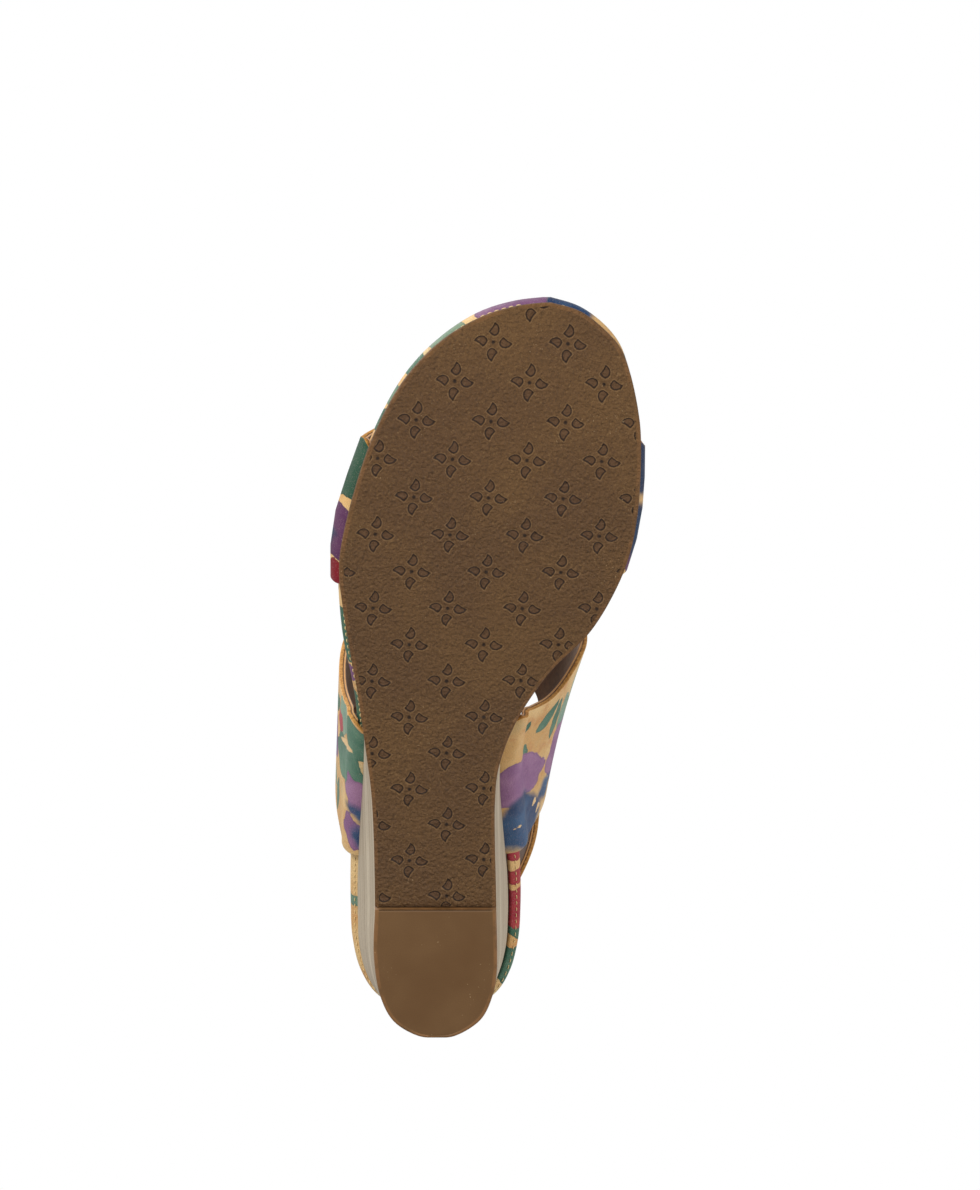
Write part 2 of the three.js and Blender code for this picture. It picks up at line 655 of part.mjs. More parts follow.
const pieces = [
  ["outsole", outsole, rubber],
  ["heel_top_lift", cut(liftBody, pegHoles), rubber],
  ["lift_peg_1", peg(pegRadius, pegBottom, pegTop, pegPlaces[0]), rubber],
  ["lift_peg_2", peg(pegRadius, pegBottom, pegTop, pegPlaces[1]), rubber],
  ["wedge_core", cut(coreBody, [shankSeat, ...holes, ...pegHoles]), core],
  ["wedge_cover", sheetRoundWedge(), stacked],
  ["bottom_filler", filler, core],
  ["shank", cut(shankBlank, holes), steel],
  ["insole_board", cut(boardBody, holes), board],
  ["footbed_foam", cut(foamBody, holes), foam],
  ["sock", sock, hide],
  ["footbed_wrap", strip(), painted],
  ["toe_strap_outer", toeOuter, painted],
  ["toe_strap_lining", toeLining, suede],
  ["lateral_quarter_outer", quarterOuter, painted],
  ["lateral_quarter_lining", quarterLining, suede],
  ["medial_leg_outer", legOuter, painted],
  ["medial_leg_lining", legLining, suede],
  ["instep_flap_outer", flapOuter, painted],
  ["instep_flap_lining", flapLining, suede],
  ["loop_patch", patch(loopFrom, loopTo), tape],
  ["hook_patch", patch(hookFrom, hookTo), tape],
  ["back_strap_outer", backOuter, painted],
  ["back_strap_lining", backLining, suede],
  ...fasteners.map(([name, profile, x, y]) => [name, turned(profile, x, y), steel]),
];

const sandal = new THREE.Group();
for (const [name, geometry, finish] of pieces) {
  const mesh = new THREE.Mesh(geometry, new THREE.MeshStandardMaterial(finish));
  mesh.name = name;
  sandal.add(mesh);
}

// The origin is the middle of the sandal's box, on the ground.
const box = new THREE.Box3().setFromObject(sandal);
const middle = box.getCenter(new THREE.Vector3());
sandal.position.set(-middle.x, -middle.y, -box.min.z);

export default new THREE.Group().add(sandal);
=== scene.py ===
import math

import bpy
import numpy as np
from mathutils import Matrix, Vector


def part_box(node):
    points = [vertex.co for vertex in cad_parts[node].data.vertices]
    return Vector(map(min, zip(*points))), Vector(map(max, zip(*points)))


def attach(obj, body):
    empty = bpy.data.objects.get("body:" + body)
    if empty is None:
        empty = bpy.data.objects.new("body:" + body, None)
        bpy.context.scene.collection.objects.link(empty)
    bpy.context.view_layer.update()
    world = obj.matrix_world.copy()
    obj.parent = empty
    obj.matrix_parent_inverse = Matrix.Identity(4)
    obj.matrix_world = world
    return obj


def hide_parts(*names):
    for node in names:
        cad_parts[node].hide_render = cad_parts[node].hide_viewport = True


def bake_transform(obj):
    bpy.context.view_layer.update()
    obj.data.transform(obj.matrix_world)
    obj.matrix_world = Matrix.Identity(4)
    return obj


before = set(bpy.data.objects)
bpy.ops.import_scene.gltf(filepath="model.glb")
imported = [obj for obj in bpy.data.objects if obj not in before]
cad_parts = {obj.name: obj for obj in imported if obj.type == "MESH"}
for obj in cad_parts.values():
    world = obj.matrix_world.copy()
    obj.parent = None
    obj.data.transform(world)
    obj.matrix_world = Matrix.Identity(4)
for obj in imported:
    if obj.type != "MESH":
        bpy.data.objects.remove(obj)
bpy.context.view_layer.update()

# ---------------------------------------------------------------------------
# The camera. It stands below and ahead of the toe and looks up at the tread, so
# the whole sole shows, with the outer faces of the straps on both sides of it.
# ---------------------------------------------------------------------------
looks_up = math.radians(22.2)  # away from straight up, towards the heel
camera_distance = 12.0
aim_ahead = 0.0346  # the aim lies this far ahead of the sandal's middle, on the ground
aim_inwards = 0.0007
lens_data = bpy.data.cameras.new("camera")
lens_data.sensor_width = 36
lens_data.lens = 1188
lens_data.clip_end = 60
camera = bpy.data.objects.new("camera", lens_data)
bpy.context.collection.objects.link(camera)
camera.location = (
    aim_inwards,
    -aim_ahead - camera_distance * math.sin(looks_up),
    -camera_distance * math.cos(looks_up),
)
camera.rotation_euler = (math.pi - looks_up, 0, 0)
bpy.context.scene.camera = camera

# ---------------------------------------------------------------------------
# The studio. A pale floor that is clear from below, a soft light above, one
# below for the tread, one on each side, and a white room round them.
# ---------------------------------------------------------------------------
world = bpy.data.worlds.new("studio")
bpy.context.scene.world = world
world.use_nodes = True
room = world.node_tree
room.nodes.clear()
room_light = room.nodes.new("ShaderNodeBackground")
room_light.inputs["Color"].default_value = (1, 0.985, 0.965, 1)
room_light.inputs["Strength"].default_value = 0.44
room_seen = room.nodes.new("ShaderNodeBackground")
room_seen.inputs["Color"].default_value = (1, 1, 1, 1)
seen_or_lighting = room.nodes.new("ShaderNodeMixShader")
ray = room.nodes.new("ShaderNodeLightPath")
room_out = room.nodes.new("ShaderNodeOutputWorld")
room.links.new(ray.outputs["Is Camera Ray"], seen_or_lighting.inputs["Fac"])
room.links.new(room_light.outputs[0], seen_or_lighting.inputs[1])
room.links.new(room_seen.outputs[0], seen_or_lighting.inputs[2])
room.links.new(seen_or_lighting.outputs[0], room_out.inputs[0])
bpy.context.scene.view_settings.view_transform = "Standard"
bpy.context.scene.view_settings.look = "None"


def soft_light(name, place, aim, size, power):
    """A square area light of that size at a place, turned to shine on the aim."""
    data = bpy.data.lights.new(name, "AREA")
    data.size = size
    data.energy = power
    lamp = bpy.data.objects.new(name, data)
    bpy.context.collection.objects.link(lamp)
    lamp.location = place
    back = [a - b for a, b in zip(place, aim)]
    flat = math.hypot(back[0], back[1])
    lamp.rotation_euler = (math.atan2(flat, back[2]), 0, math.atan2(back[0], -back[1]))
    return lamp


soft_light("key_above", (-0.9, -0.9, 1.6), (0, 0, 0.05), 1.4, 26)
soft_light("key_below", (-0.7, -1.3, -1.12), (0, 0.02, 0), 0.4, 29.5)
soft_light("inner_fill", (1.7, 0.1, -0.3), (0, 0.05, 0.04), 1.2, 19)
soft_light("outer_fill", (-1.7, 0.3, -0.2), (0, 0.05, 0.04), 1.2, 5)

floor_half = 3.0
floor_below = 0.0004
floor_mesh = bpy.data.meshes.new("floor")
floor_mesh.from_pydata(
    [(x * floor_half, y * floor_half, -floor_below) for x, y in ((-1, -1), (1, -1), (1, 1), (-1, 1))],
    [],
    [(0, 1, 2, 3)],
)
floor = bpy.data.objects.new("floor", floor_mesh)
bpy.context.collection.objects.link(floor)
floor.visible_diffuse = False
floor.visible_glossy = False
floor.visible_transmission = False
floor.visible_shadow = False


class Wire:
    """One socket of a material, with arithmetic: each sign adds its Math node."""

    def __init__(self, finish, socket):
        self.finish = finish
        self.socket = socket

    def math(self, operation, *others, swap=False):
        """A Math node on this socket and the others, in that order or, swapped, the other way round."""
        values = [self, *others]
        if swap:
            values.reverse()
        return self.finish.node("Math", {"operation": operation}, dict(enumerate(values)))

    def __add__(self, other):
        return self.math("ADD", other)

    def __radd__(self, other):
        return self.math("ADD", other)

    def __sub__(self, other):
        return self.math("SUBTRACT", other)

    def __rsub__(self, other):
        return self.math("SUBTRACT", other, swap=True)

    def __mul__(self, other):
        return self.math("MULTIPLY", other)

    def __rmul__(self, other):
        return self.math("MULTIPLY", other)

    def __truediv__(self, other):
        return self.math("DIVIDE", other)

    def ramp(self, low, high, to_low=0.0, to_high=1.0):
        """Rises smoothly from to_low at low to to_high at high."""
        settings = {"interpolation_type": "SMOOTHSTEP"}
        values = {"Value": self, "From Min": low, "From Max": high, "To Min": to_low, "To Max": to_high}
        return self.finish.node("MapRange", settings, values)


class Finish:
    """A material. node() makes any node from its type, its settings and its sockets' values or links."""

    def __init__(self, name):
        self.material = bpy.data.materials.new(name)
        self.material.use_nodes = True
        self.tree = self.material.node_tree
        self.tree.nodes.clear()

    def node(self, kind, settings=None, values=None, out=0):
        made = self.tree.nodes.new("ShaderNode" + kind)
        for key, value in (settings or {}).items():
            setattr(made, key, value)
        for key, value in (values or {}).items():
            socket = made.inputs[key]
            if isinstance(value, Wire):
                self.tree.links.new(value.socket, socket)
            else:
                socket.default_value = value
        return Wire(self, made.outputs[out])

    def mix(self, share, first, second):
        """The first colour where share is 0, the second where it is 1."""
        return self.node("Mix", {"data_type": "RGBA"}, {0: share, 6: first, 7: second}, out=2)

    def place(self, scale=(1, 1, 1)):
        """Object coordinates in metres, times a scale."""
        spot = self.node("TexCoord", out="Object")
        return self.node("VectorMath", {"operation": "MULTIPLY"}, {0: spot, 1: scale})

    def noise(self, where, scale, detail=2.0, rough=0.5):
        """Soft random values from 0 to 1, about scale of them to the metre."""
        values = {"Vector": where, "Scale": scale, "Detail": detail, "Roughness": rough}
        return self.node("TexNoise", None, values, out="Fac")

    def cells(self, where, scale, feature="F1", out="Distance"):
        """The distance to the nearest of many scattered points, or another value of their cells."""
        return self.node("TexVoronoi", {"feature": feature}, {"Vector": where, "Scale": scale}, out=out)

    def stored(self, name):
        """A number kept at each point of the mesh."""
        return self.node("Attribute", {"attribute_name": name}, out="Fac")

    def bump(self, height, distance, strength):
        """Normals tilted as if the surface rose by height times a distance in metres."""
        return self.node("Bump", None, {"Height": height, "Distance": distance, "Strength": strength})

    def surface(self, **values):
        """The Principled shader; each word is a socket's name with _ for a space."""
        named = {key.replace("_", " "): value for key, value in values.items()}
        shader = self.node("BsdfPrincipled", None, named)
        self.node_to_output(shader)
        return self.material

    def node_to_output(self, shader):
        end = self.tree.nodes.new("ShaderNodeOutputMaterial")
        self.tree.links.new(shader.socket, end.inputs["Surface"])


def colour(red, green, blue):
    """A colour given as 0 to 255 on a screen, as the linear values that shaders use."""
    share = [c / 255 for c in (red, green, blue)]
    return (*[c / 12.92 if c < 0.04045 else ((c + 0.055) / 1.055) ** 2.4 for c in share], 1)


paper = Finish("floor_paper")
paper_shade = paper.node("BsdfDiffuse", None, {"Color": colour(236, 235, 233)})
paper_clear = paper.node("BsdfTransparent")
paper_back = paper.node("NewGeometry", out="Backfacing")
paper.node_to_output(paper.node("MixShader", None, {0: paper_back, 1: paper_shade, 2: paper_clear}))
floor_mesh.materials.append(paper.material)

# ---------------------------------------------------------------------------
# The outsole. One moulded rubber sheet from the toe to the top-lift, turned up
# at the toe, with small sunk flowers of four petals and a dot in two rows.
# ---------------------------------------------------------------------------
last_length = 251.0
ball_width = 92.2
toe_spring = 14.0
flat_from, flat_to = 100.0, 124.0
breast_rise = 1.8
outsole_thickness = 3.0
lift_length = 43.0
sole_rear = 0.949 * last_length
breast = sole_rear - lift_length
end_trim = 0.2
gap = 0.3

screw_low, screw_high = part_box("heel_screw")
heel_line = 1000 * (screw_low.x + screw_high.x) / 2
toe_line = 1000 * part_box("heel_top_lift")[1].y - (sole_rear - end_trim)
last_to_frame = np.array([heel_line, toe_line, 0.0])

sole_inner = [
    (37.4, 0.1), (47.8, 1.2), (56.5, 3.6), (61.5, 5.8), (64.4, 8.7), (67, 13.2), (67.9, 16.7), (67, 25.3),
    (64.4, 30.8), (60.1, 35.3), (51.2, 41.2), (37.7, 46.6), (26.9, 52.9), (20.9, 59.1), (19.6, 63.7),
    (20, 77.7), (20.2, 86.1), (19, 89), (14.9, 92.4), (6.2, 94.6), (0, 94.9),
]
sole_outer = [
    (37.4, 0.1), (26.2, 0.6), (14.6, 1.9), (1.6, 4.7), (-9.7, 8.9), (-19.1, 14.8), (-26.2, 22), (-31.7, 30.8),
    (-32.1, 34.1), (-31.2, 37.3), (-29, 42.8), (-26.2, 49.1), (-23.2, 57.4), (-21.4, 63.5), (-20.4, 77.7),
    (-20.8, 84), (-18.6, 89.4), (-14.1, 92.7), (-6, 94.6), (0, 94.9),
]


def run_along(points):
    """The length along a line up to each of its points."""
    return np.concatenate([[0], np.cumsum(np.linalg.norm(np.diff(points, axis=0), axis=1))])


def smooth(t):
    """3t^2 - 2t^3 of t held between 0 and 1."""
    t = np.clip(t, 0, 1)
    return t * t * (3 - 2 * t)


def toe_rise(y):
    """How far the sandal turns up at a station: a power curve from the flat part to the tip of the toe."""
    return toe_spring * np.clip((flat_from - y) / flat_from, 0, None) ** 2.4


def sole_line(y):
    """Height of the tread at a station: the toe's rise, and a small smooth rise to the top-lift."""
    return toe_rise(y) + breast_rise * smooth((y - flat_to) / (breast - flat_to))


def above(line, x, y, height):
    """The point over (x, y) at a height measured square to a line along the foot."""
    slope = line(y + 0.5) - line(y - 0.5)
    length = np.hypot(1, slope)
    return np.stack([x + 0 * y, y - slope / length * height, line(y) + height / length], -1)


def curve_through(points, per_span=24):
    """A centripetal Catmull-Rom curve: on each span, a cubic whose end slopes come from the neighbours,
    weighted by the square roots of the chord lengths."""
    p = np.asarray(points, float)
    p = np.concatenate([[2 * p[0] - p[1]], p, [2 * p[-1] - p[-2]]])
    chord = np.sqrt(np.linalg.norm(np.diff(p, axis=0), axis=1))[:, None]
    a, b, c = chord[:-2], chord[1:-1], chord[2:]
    p0, p1, p2, p3 = p[:-3], p[1:-2], p[2:-1], p[3:]
    out_slope = b * ((p1 - p0) / a - (p2 - p0) / (a + b) + (p2 - p1) / b)
    in_slope = b * ((p2 - p1) / b - (p3 - p1) / (b + c) + (p3 - p2) / c)
    t = (np.arange(per_span) / per_span)[None, :, None]
    p1, p2, out_slope, in_slope = (v[:, None] for v in (p1, p2, out_slope, in_slope))
    spans = (
        (2 * t**3 - 3 * t**2 + 1) * p1 + (t**3 - 2 * t**2 + t) * out_slope
        + (3 * t**2 - 2 * t**3) * p2 + (t**3 - t**2) * in_slope
    )
    return np.concatenate([spans.reshape(-1, p.shape[1]), p[-2:-1]])


def outline_side(table):
    """One side of an outline in millimetres, from per cent of the ball's width and of the last's length."""
    return curve_through(np.array(table) * (ball_width / 100, last_length / 100))


def moved_in(sides, *distances):
    """Both sides of an outline moved inwards, square to themselves, by a distance for each side. At the toe
    and the heel, where the sides meet, they run straight across."""
    moved = []
    for line, by, turn in zip(sides, (distances * 2)[:2], (1, -1)):
        step = np.gradient(line, axis=0)
        step[0], step[-1] = (turn, 0), (-turn, 0)
        step /= np.linalg.norm(step, axis=1)[:, None]
        moved.append(line + turn * by * np.stack([-step[:, 1], step[:, 0]], -1))
    return moved


def across_at(line, y):
    """Where one side of an outline crosses the stations y."""
    rising = np.maximum.accumulate(line[:, 1]) + np.arange(len(line)) * 1e-7
    return np.interp(y, rising, line[:, 0])


def carried(levels, shares, first=-np.inf, last=np.inf):
    """Points on both sides of an outline at each level, for shares of the way along it. A level is (outline,
    inwards on its inner side, inwards on its outer side, line it follows, height above that line)."""
    sides = {1: [], 0: []}
    for outline, inner_by, outer_by, line, height in levels:
        moved = moved_in(outline, inner_by, outer_by)
        front = max(first, moved[0][0, 1] + end_trim)
        rear = min(last, moved[0][-1, 1] - end_trim)
        y = front + (rear - front) * shares
        for key in sides:
            sides[key].append(above(line, across_at(moved[1 - key], y), y, height))
    return np.stack(sides[0], 1), np.stack(sides[1], 1)


def even_shares(length, step, fine, ends=(True, True)):
    """Shares from 0 to 1 in steps of one size, which shrink towards each rounded end."""
    shrinking = fine * 1.35 ** np.arange(40)
    shrinking = shrinking[shrinking < step]
    middle = length - shrinking.sum() * sum(ends)
    steps = np.full(max(int(middle / step), 4), 1.0)
    steps *= middle / steps.sum()
    parts = [shrinking] * ends[0] + [steps] + [shrinking[::-1]] * ends[1]
    place = np.concatenate([[0], np.cumsum(np.concatenate(parts))])
    return place / place[-1]


def skin(name, sections, shut, stored=None):
    """A mesh from sections (rows, points round, 3) in millimetres of the last. Each section closes on
    itself. shut lists the faces, by their places round a section, that close the first and the last
    section; with none those two are joined to each other."""
    rows, count = sections.shape[:2]
    r = np.arange(rows - 1 if shut else rows)[:, None]
    k = np.arange(count)[None]
    nr, nk = (r + 1) % rows, (k + 1) % count
    quads = np.stack([r * count + k, nr * count + k, nr * count + nk, r * count + nk], -1)
    faces = quads.reshape(-1, 4).tolist()
    for corners in shut or []:
        faces.append([int(c) for c in corners])
        faces.append([int(c) + (rows - 1) * count for c in corners][::-1])
    stored = {key: np.asarray(value, float).reshape(-1) for key, value in (stored or {}).items()}
    return piece(name, sections.reshape(-1, 3), faces, stored)


back_columns = 24


def slab_shut(levels, face):
    """The end of a slab: a strip from each level on one side to the same level on the other."""
    left, right = np.arange(levels), np.arange(levels)[::-1] + levels + face
    strip = [[left[i], left[i + 1], right[i + 1], right[i]] for i in range(1, levels - 2)]
    top = [*range(2 * levels + face, 2 * levels + face + back_columns), left[0], left[1], right[1], right[0]]
    return strip + [top, [*range(levels - 2, levels + face + 2)]]


def piece(name, points, faces, stored):
    """A smooth-shaded object with its place in its mesh and numbers kept at its points. Its faces point
    outwards: their volume, the sum of each corner times the cross product of the next two, is above 0."""
    mesh = bpy.data.meshes.new(name)
    mesh.from_pydata(((points + last_to_frame) / 1000).tolist(), [], faces)
    for key, value in stored.items():
        mesh.attributes.new(key, "FLOAT", "POINT").data.foreach_set("value", value.astype(np.float32))
    corners = np.array([f[:3] for f in faces])
    a, b, c = (points[corners[:, i]] for i in range(3))
    if np.einsum("ij,ij->i", a, np.cross(b, c)).sum() < 0:
        mesh.flip_normals()
    mesh.shade_smooth()
    made = bpy.data.objects.new(name, mesh)
    bpy.context.collection.objects.link(made)
    return made


flower_step_x, flower_step_y = 22.8, 24.0
flower_first = (14.6, 11.5)
flower_drift = 2.9  # the rows lie this much further inwards at the toe
drift_from, drift_over = 107.0, 95.0
row_tilt = ((10, 110, 190), (0.024, 0, -0.017))  # stations, and how much a row slopes there
petal = np.array([
    (0.0, 2.3), (1.0, 1.4), (1.42, 0.3), (1.3, -0.7), (0.74, -1.42), (0.0, -1.72),
    (-0.72, -1.4), (-1.3, -0.92), (-1.75, -0.5), (-1.15, 0.15), (-0.62, 0.85), (-0.3, 1.5),
])
petal_from_dot = (0.33, 3.55)
dot_radius = 0.42
petal_depth, dot_depth = 0.38, 0.3
rear_turned_up = 0.45  # the tread's rear edge is rounded up to the top-lift


def distance_to_outline(x, y, corners):
    """Signed distance to a closed polygon, negative inside: the least distance to a side, with the sign
    from how many sides a ray crosses."""
    least = np.full(x.shape, 1e9)
    inside = np.zeros(x.shape, bool)
    for (ax, ay), (bx, by) in zip(corners, np.roll(corners, -1, 0)):
        ex, ey = bx - ax, by - ay
        t = np.clip(((x - ax) * ex + (y - ay) * ey) / (ex * ex + ey * ey), 0, 1)
        least = np.minimum(least, np.hypot(x - ax - t * ex, y - ay - t * ey))
        crossed = ((ay > y) != (by > y)) & (x < (bx - ax) * (y - ay) / (by - ay + 1e-12) + ax)
        inside ^= crossed
    return np.where(inside, -least, least)


def flowers(x, y):
    """Distances to the nearest petal and the nearest dot: the tread is folded onto one flower of a
    centred lattice, and that flower onto one petal by quarter turns."""
    u = x - flower_first[0] - flower_drift * np.clip((drift_from - y) / drift_over, 0, 1.2)
    v = y - flower_first[1] - x * np.interp(y, *row_tilt)
    best = None
    for shift in (0, 0.5):
        du = (u / flower_step_x + shift + 0.5) % 1 * flower_step_x - flower_step_x / 2
        dv = (v / flower_step_y + shift + 0.5) % 1 * flower_step_y - flower_step_y / 2
        near = np.hypot(du, dv)
        if best is None:
            best = [near, du, dv]
        else:
            closer = near < best[0]
            best = [np.where(closer, new, old) for new, old in zip((near, du, dv), best)]
    away, right, up = best[0], best[1], -best[2]
    to_petal = np.full(x.shape, 1e9)
    for _ in range(4):
        to_petal = np.minimum(
            to_petal, distance_to_outline(right - petal_from_dot[0], up - petal_from_dot[1], petal)
        )
        right, up = -up, right
    return to_petal, away - dot_radius


def slab(edge, shares, face_columns, first=-np.inf, last=np.inf):
    """Sections of a sheet with shaped edges: one side's edge levels, straight across to the other side's,
    those levels again, and straight back. Also returns the share across, which points are on the face, and
    the faces that close its ends."""
    outer, inner = carried(edge, shares, first, last)
    face = np.linspace(0, 1, face_columns)[1:-1]
    back = np.linspace(0, 1, back_columns + 2)[1:-1]
    cross = face[None, :, None]
    sections = np.concatenate([
        outer,
        outer[:, -1:] * (1 - cross) + inner[:, -1:] * cross,
        inner[:, ::-1],
        inner[:, :1] * (1 - back[None, :, None]) + outer[:, :1] * back[None, :, None],
    ], 1)
    levels = len(edge)
    share = np.concatenate([np.zeros(levels), face, np.ones(levels), 1 - back])
    on_face = np.concatenate([np.zeros(levels), np.ones(len(face)), np.zeros(levels + back_columns)])
    spread = 0 * sections[..., 0]
    return sections, share + spread, on_face + spread, slab_shut(levels, len(face))


def rim_distance(sections, on_face):
    """How far each face point is from the nearer side, and 0 on the edges."""
    x = sections[..., 0]
    nearer = np.minimum(x - x.min(1, keepdims=True), x.max(1, keepdims=True) - x)
    return np.where(on_face > 0, nearer, 0)


sole_sides = (outline_side(sole_inner), outline_side(sole_outer))
tread_profile = [(0, 2.9), (0, 1.5), (0, 0.75), (0.1, 0.4), (0.32, 0.14), (0.65, 0.02), (1.1, 0)]
tread_edge = [(sole_sides, by, by, sole_line, height) for by, height in tread_profile]
outsole_end = breast - gap / 2
tread_shares = even_shares(outsole_end, 0.52, 0.06, (True, False))
sections, _, on_tread, shut = slab(tread_edge, tread_shares, 168, last=outsole_end)
to_petal, to_dot = flowers(sections[..., 0], sections[..., 1])
rim = rim_distance(sections, on_tread)
sections[..., 2] += on_tread * (
    smooth(rim / 1.5) * (
        petal_depth * smooth((0.22 - to_petal) / 0.5) + dot_depth * smooth((0.25 - to_dot) / 0.5)
    )
    + rear_turned_up * smooth(1 - (outsole_end - sections[..., 1]) / 0.7)
)
outsole = skin("outsole_tread", sections, shut, {
    "petal": np.where(on_tread > 0, to_petal, 3), "dot": np.where(on_tread > 0, to_dot, 3), "rim": rim,
})

rubber = Finish("moulded_rubber")
spot = rubber.place()
cloud = rubber.noise(spot, 28, 3, 0.55)
pebble = rubber.cells(spot, 1150, "SMOOTH_F1")
fine = rubber.noise(spot, 2600, 2, 0.7)
speck = rubber.noise(spot, 1500, 1)
speck_field = rubber.noise(spot, 60)
tread_brown = rubber.mix(cloud.ramp(0.35, 0.68), colour(93, 64, 32), colour(106, 76, 41))
tread_brown = rubber.mix(fine.ramp(0.3, 0.75) * 0.45, tread_brown, colour(66, 43, 25))
weave = rubber.noise(spot, 1050, 4, 0.7)
rumple = rubber.noise(spot, 430, 3, 0.6)
# Darker and lighter patches of the crinkled grain, on the same noise as its bump: partly the rubber's own
# mottle, partly painted shade and painted highlight for the grain's relief.
tread_brown = rubber.mix(weave.ramp(0.5, 0.68) * 0.42, tread_brown, colour(62, 42, 22))
tread_brown = rubber.mix(weave.ramp(0.44, 0.3) * 0.4, tread_brown, colour(136, 106, 66))
petal_edge = rubber.stored("petal")
petal_inside = petal_edge.ramp(0.05, -0.25)
tread_brown = rubber.mix(petal_inside * 0.6, tread_brown, colour(86, 60, 40))
# Painted shade: the petals' outlines and the sunk dots are darkened almost to black, as the shaded walls of
# the recesses.
petal_outline_shade = petal_edge.ramp(-0.42, -0.18) * petal_edge.ramp(0.15, 0.0)
dot_shade = rubber.stored("dot").ramp(0.4, -0.05)
sunk_shade = (petal_outline_shade + dot_shade).math("MINIMUM", 1.0)
tread_brown = rubber.mix(sunk_shade * 0.92, tread_brown, colour(30, 16, 6))
lit_lip = petal_edge.ramp(0.14, 0.28) * petal_edge.ramp(0.55, 0.3)
tread_brown = rubber.mix(lit_lip * 0.3, tread_brown, colour(150, 118, 80))
worn = rubber.stored("rim").ramp(0.7, 0.0) * rubber.noise(spot, 120, 3, 0.6).ramp(0.3, 0.62)
tread_brown = rubber.mix(worn * 0.4, tread_brown, colour(134, 92, 52))
flecks = speck.ramp(0.7, 0.75) * speck_field.ramp(0.48, 0.66)
tread_brown = rubber.mix(flecks * 0.45, tread_brown, colour(176, 148, 108))
grain = rubber.bump(pebble.ramp(0.1, 0.8) * 0.2 + fine * 0.1 + weave * 0.4 + rumple * 0.6, 0.0018, 1.0)
rubber_finish = rubber.surface(
    Base_Color=tread_brown, Roughness=cloud.ramp(0.3, 0.7, 0.62, 0.78), Normal=grain, Specular_IOR_Level=0.35
)
outsole.data.materials.append(rubber_finish)
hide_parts("outsole")
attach(outsole, "sandal")

# ---------------------------------------------------------------------------
# The top-lift. A thicker rubber block under the heel, moulded smooth, with its
# edges rounded by wear. It stands a little lower than the tread in front of it.
# ---------------------------------------------------------------------------
lift_top = breast_rise + outsole_thickness


def ground(y):
    """The ground's height: none at every station."""
    return 0 * y


lift_profile = [
    (0, lift_top - 0.05), (0, 2.6), (0, 1.0), (0.05, 0.42), (0.16, 0.2), (0.34, 0.06), (0.6, 0), (1.0, 0),
]
lift_edge = [(sole_sides, by, by, ground, height) for by, height in lift_profile]
lift_front = breast + gap / 2
lift_shares = even_shares(lift_length, 0.7, 0.06)
sections, _, on_lift, shut = slab(lift_edge, lift_shares, 70, first=lift_front)
rim = rim_distance(sections, on_lift)
from_front = sections[..., 1] - lift_front
front_rounding, worn_edge = 0.35, 0.12
sections[..., 2] += on_lift * front_rounding * smooth(1 - from_front / 0.6)
sections[..., 2] += on_lift * worn_edge * smooth(1 - rim / 6) * smooth(from_front / 5)
lift = skin("heel_lift", sections, shut, {"rim": np.minimum(rim, from_front + 0.4)})

lift_rubber = Finish("lift_rubber")
spot = lift_rubber.place()
cloud = lift_rubber.noise(spot, 34, 3, 0.55)
fine = lift_rubber.noise(spot, 2600, 2, 0.7)
lift_brown = lift_rubber.mix(cloud.ramp(0.35, 0.68), colour(97, 67, 34), colour(107, 77, 43))
lift_brown = lift_rubber.mix(fine.ramp(0.35, 0.75) * 0.25, lift_brown, colour(76, 54, 34))
worn = lift_rubber.stored("rim").ramp(0.9, 0.0) * lift_rubber.noise(spot, 150, 3, 0.6).ramp(0.3, 0.6)
lift_brown = lift_rubber.mix(worn * 0.5, lift_brown, colour(140, 97, 56))
speck, speck_field = lift_rubber.noise(spot, 1200, 1), lift_rubber.noise(spot, 70)
flecks = speck.ramp(0.72, 0.76) * speck_field.ramp(0.5, 0.66)
lift_brown = lift_rubber.mix(flecks * 0.6, lift_brown, colour(186, 158, 116))
scuffs = lift_rubber.noise(lift_rubber.place((1, 0.25, 1)), 420, 3, 0.6)
grain = lift_rubber.bump(fine * 0.4 + scuffs * 0.6, 0.00006, 0.5)
lift.data.materials.append(lift_rubber.surface(
    Base_Color=lift_brown, Roughness=cloud.ramp(0.3, 0.7, 0.5, 0.66), Normal=grain, Specular_IOR_Level=0.4
))
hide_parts("heel_top_lift")
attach(lift, "sandal")

# ---------------------------------------------------------------------------
# The wedge. A cork core glued and pinned between the sole and the insole board,
# with a sheet of thin pressed layers wrapped round its sides and heel.
# ---------------------------------------------------------------------------
heel_rise = 42.0
rise_from, rise_to = 90.0, 235.0
wedge_front = 104.0
cover_thickness = 0.9
layer_height = 4.4
lip_inner, lip_outer = 3.9, 2.2
seat_inner = [
    (37.4, 0), (47.7, 1.2), (56.2, 3.5), (61, 5.8), (63.7, 8.6), (66.1, 13.1), (66.7, 16.7), (66.2, 25.3),
    (63.8, 30.8), (59.9, 35.4), (52.3, 41.4), (40.3, 47), (30.9, 53), (26.2, 59), (25.4, 64.5), (26.4, 71.7),
    (27.9, 79.7), (28.1, 85.7), (27.3, 90.4), (24.5, 94.4), (20, 97.2), (10.8, 99.4), (0, 100),
]
seat_outer = [
    (37.4, 0), (26, 0.5), (14.3, 1.8), (1.3, 4.6), (-10.1, 8.8), (-19.5, 14.7), (-26.8, 21.9), (-31.9, 28.7),
    (-32.5, 34.3), (-32.1, 39), (-30.8, 44.4), (-28.1, 50.4), (-26.5, 55.8), (-26.7, 63.7), (-27.8, 71.7),
    (-28.6, 79.7), (-28.6, 85.7), (-28.1, 90), (-25.6, 94), (-20.3, 97.3), (-10.8, 99.4), (0, 100),
]
seat_sides = (outline_side(seat_inner), outline_side(seat_outer))


def seat_line(y):
    """Height of the seat: the outsole's top, the toe's rise, and a smooth climb to the heel."""
    return outsole_thickness + toe_rise(y) + heel_rise * smooth((y - rise_from) / (rise_to - rise_from))


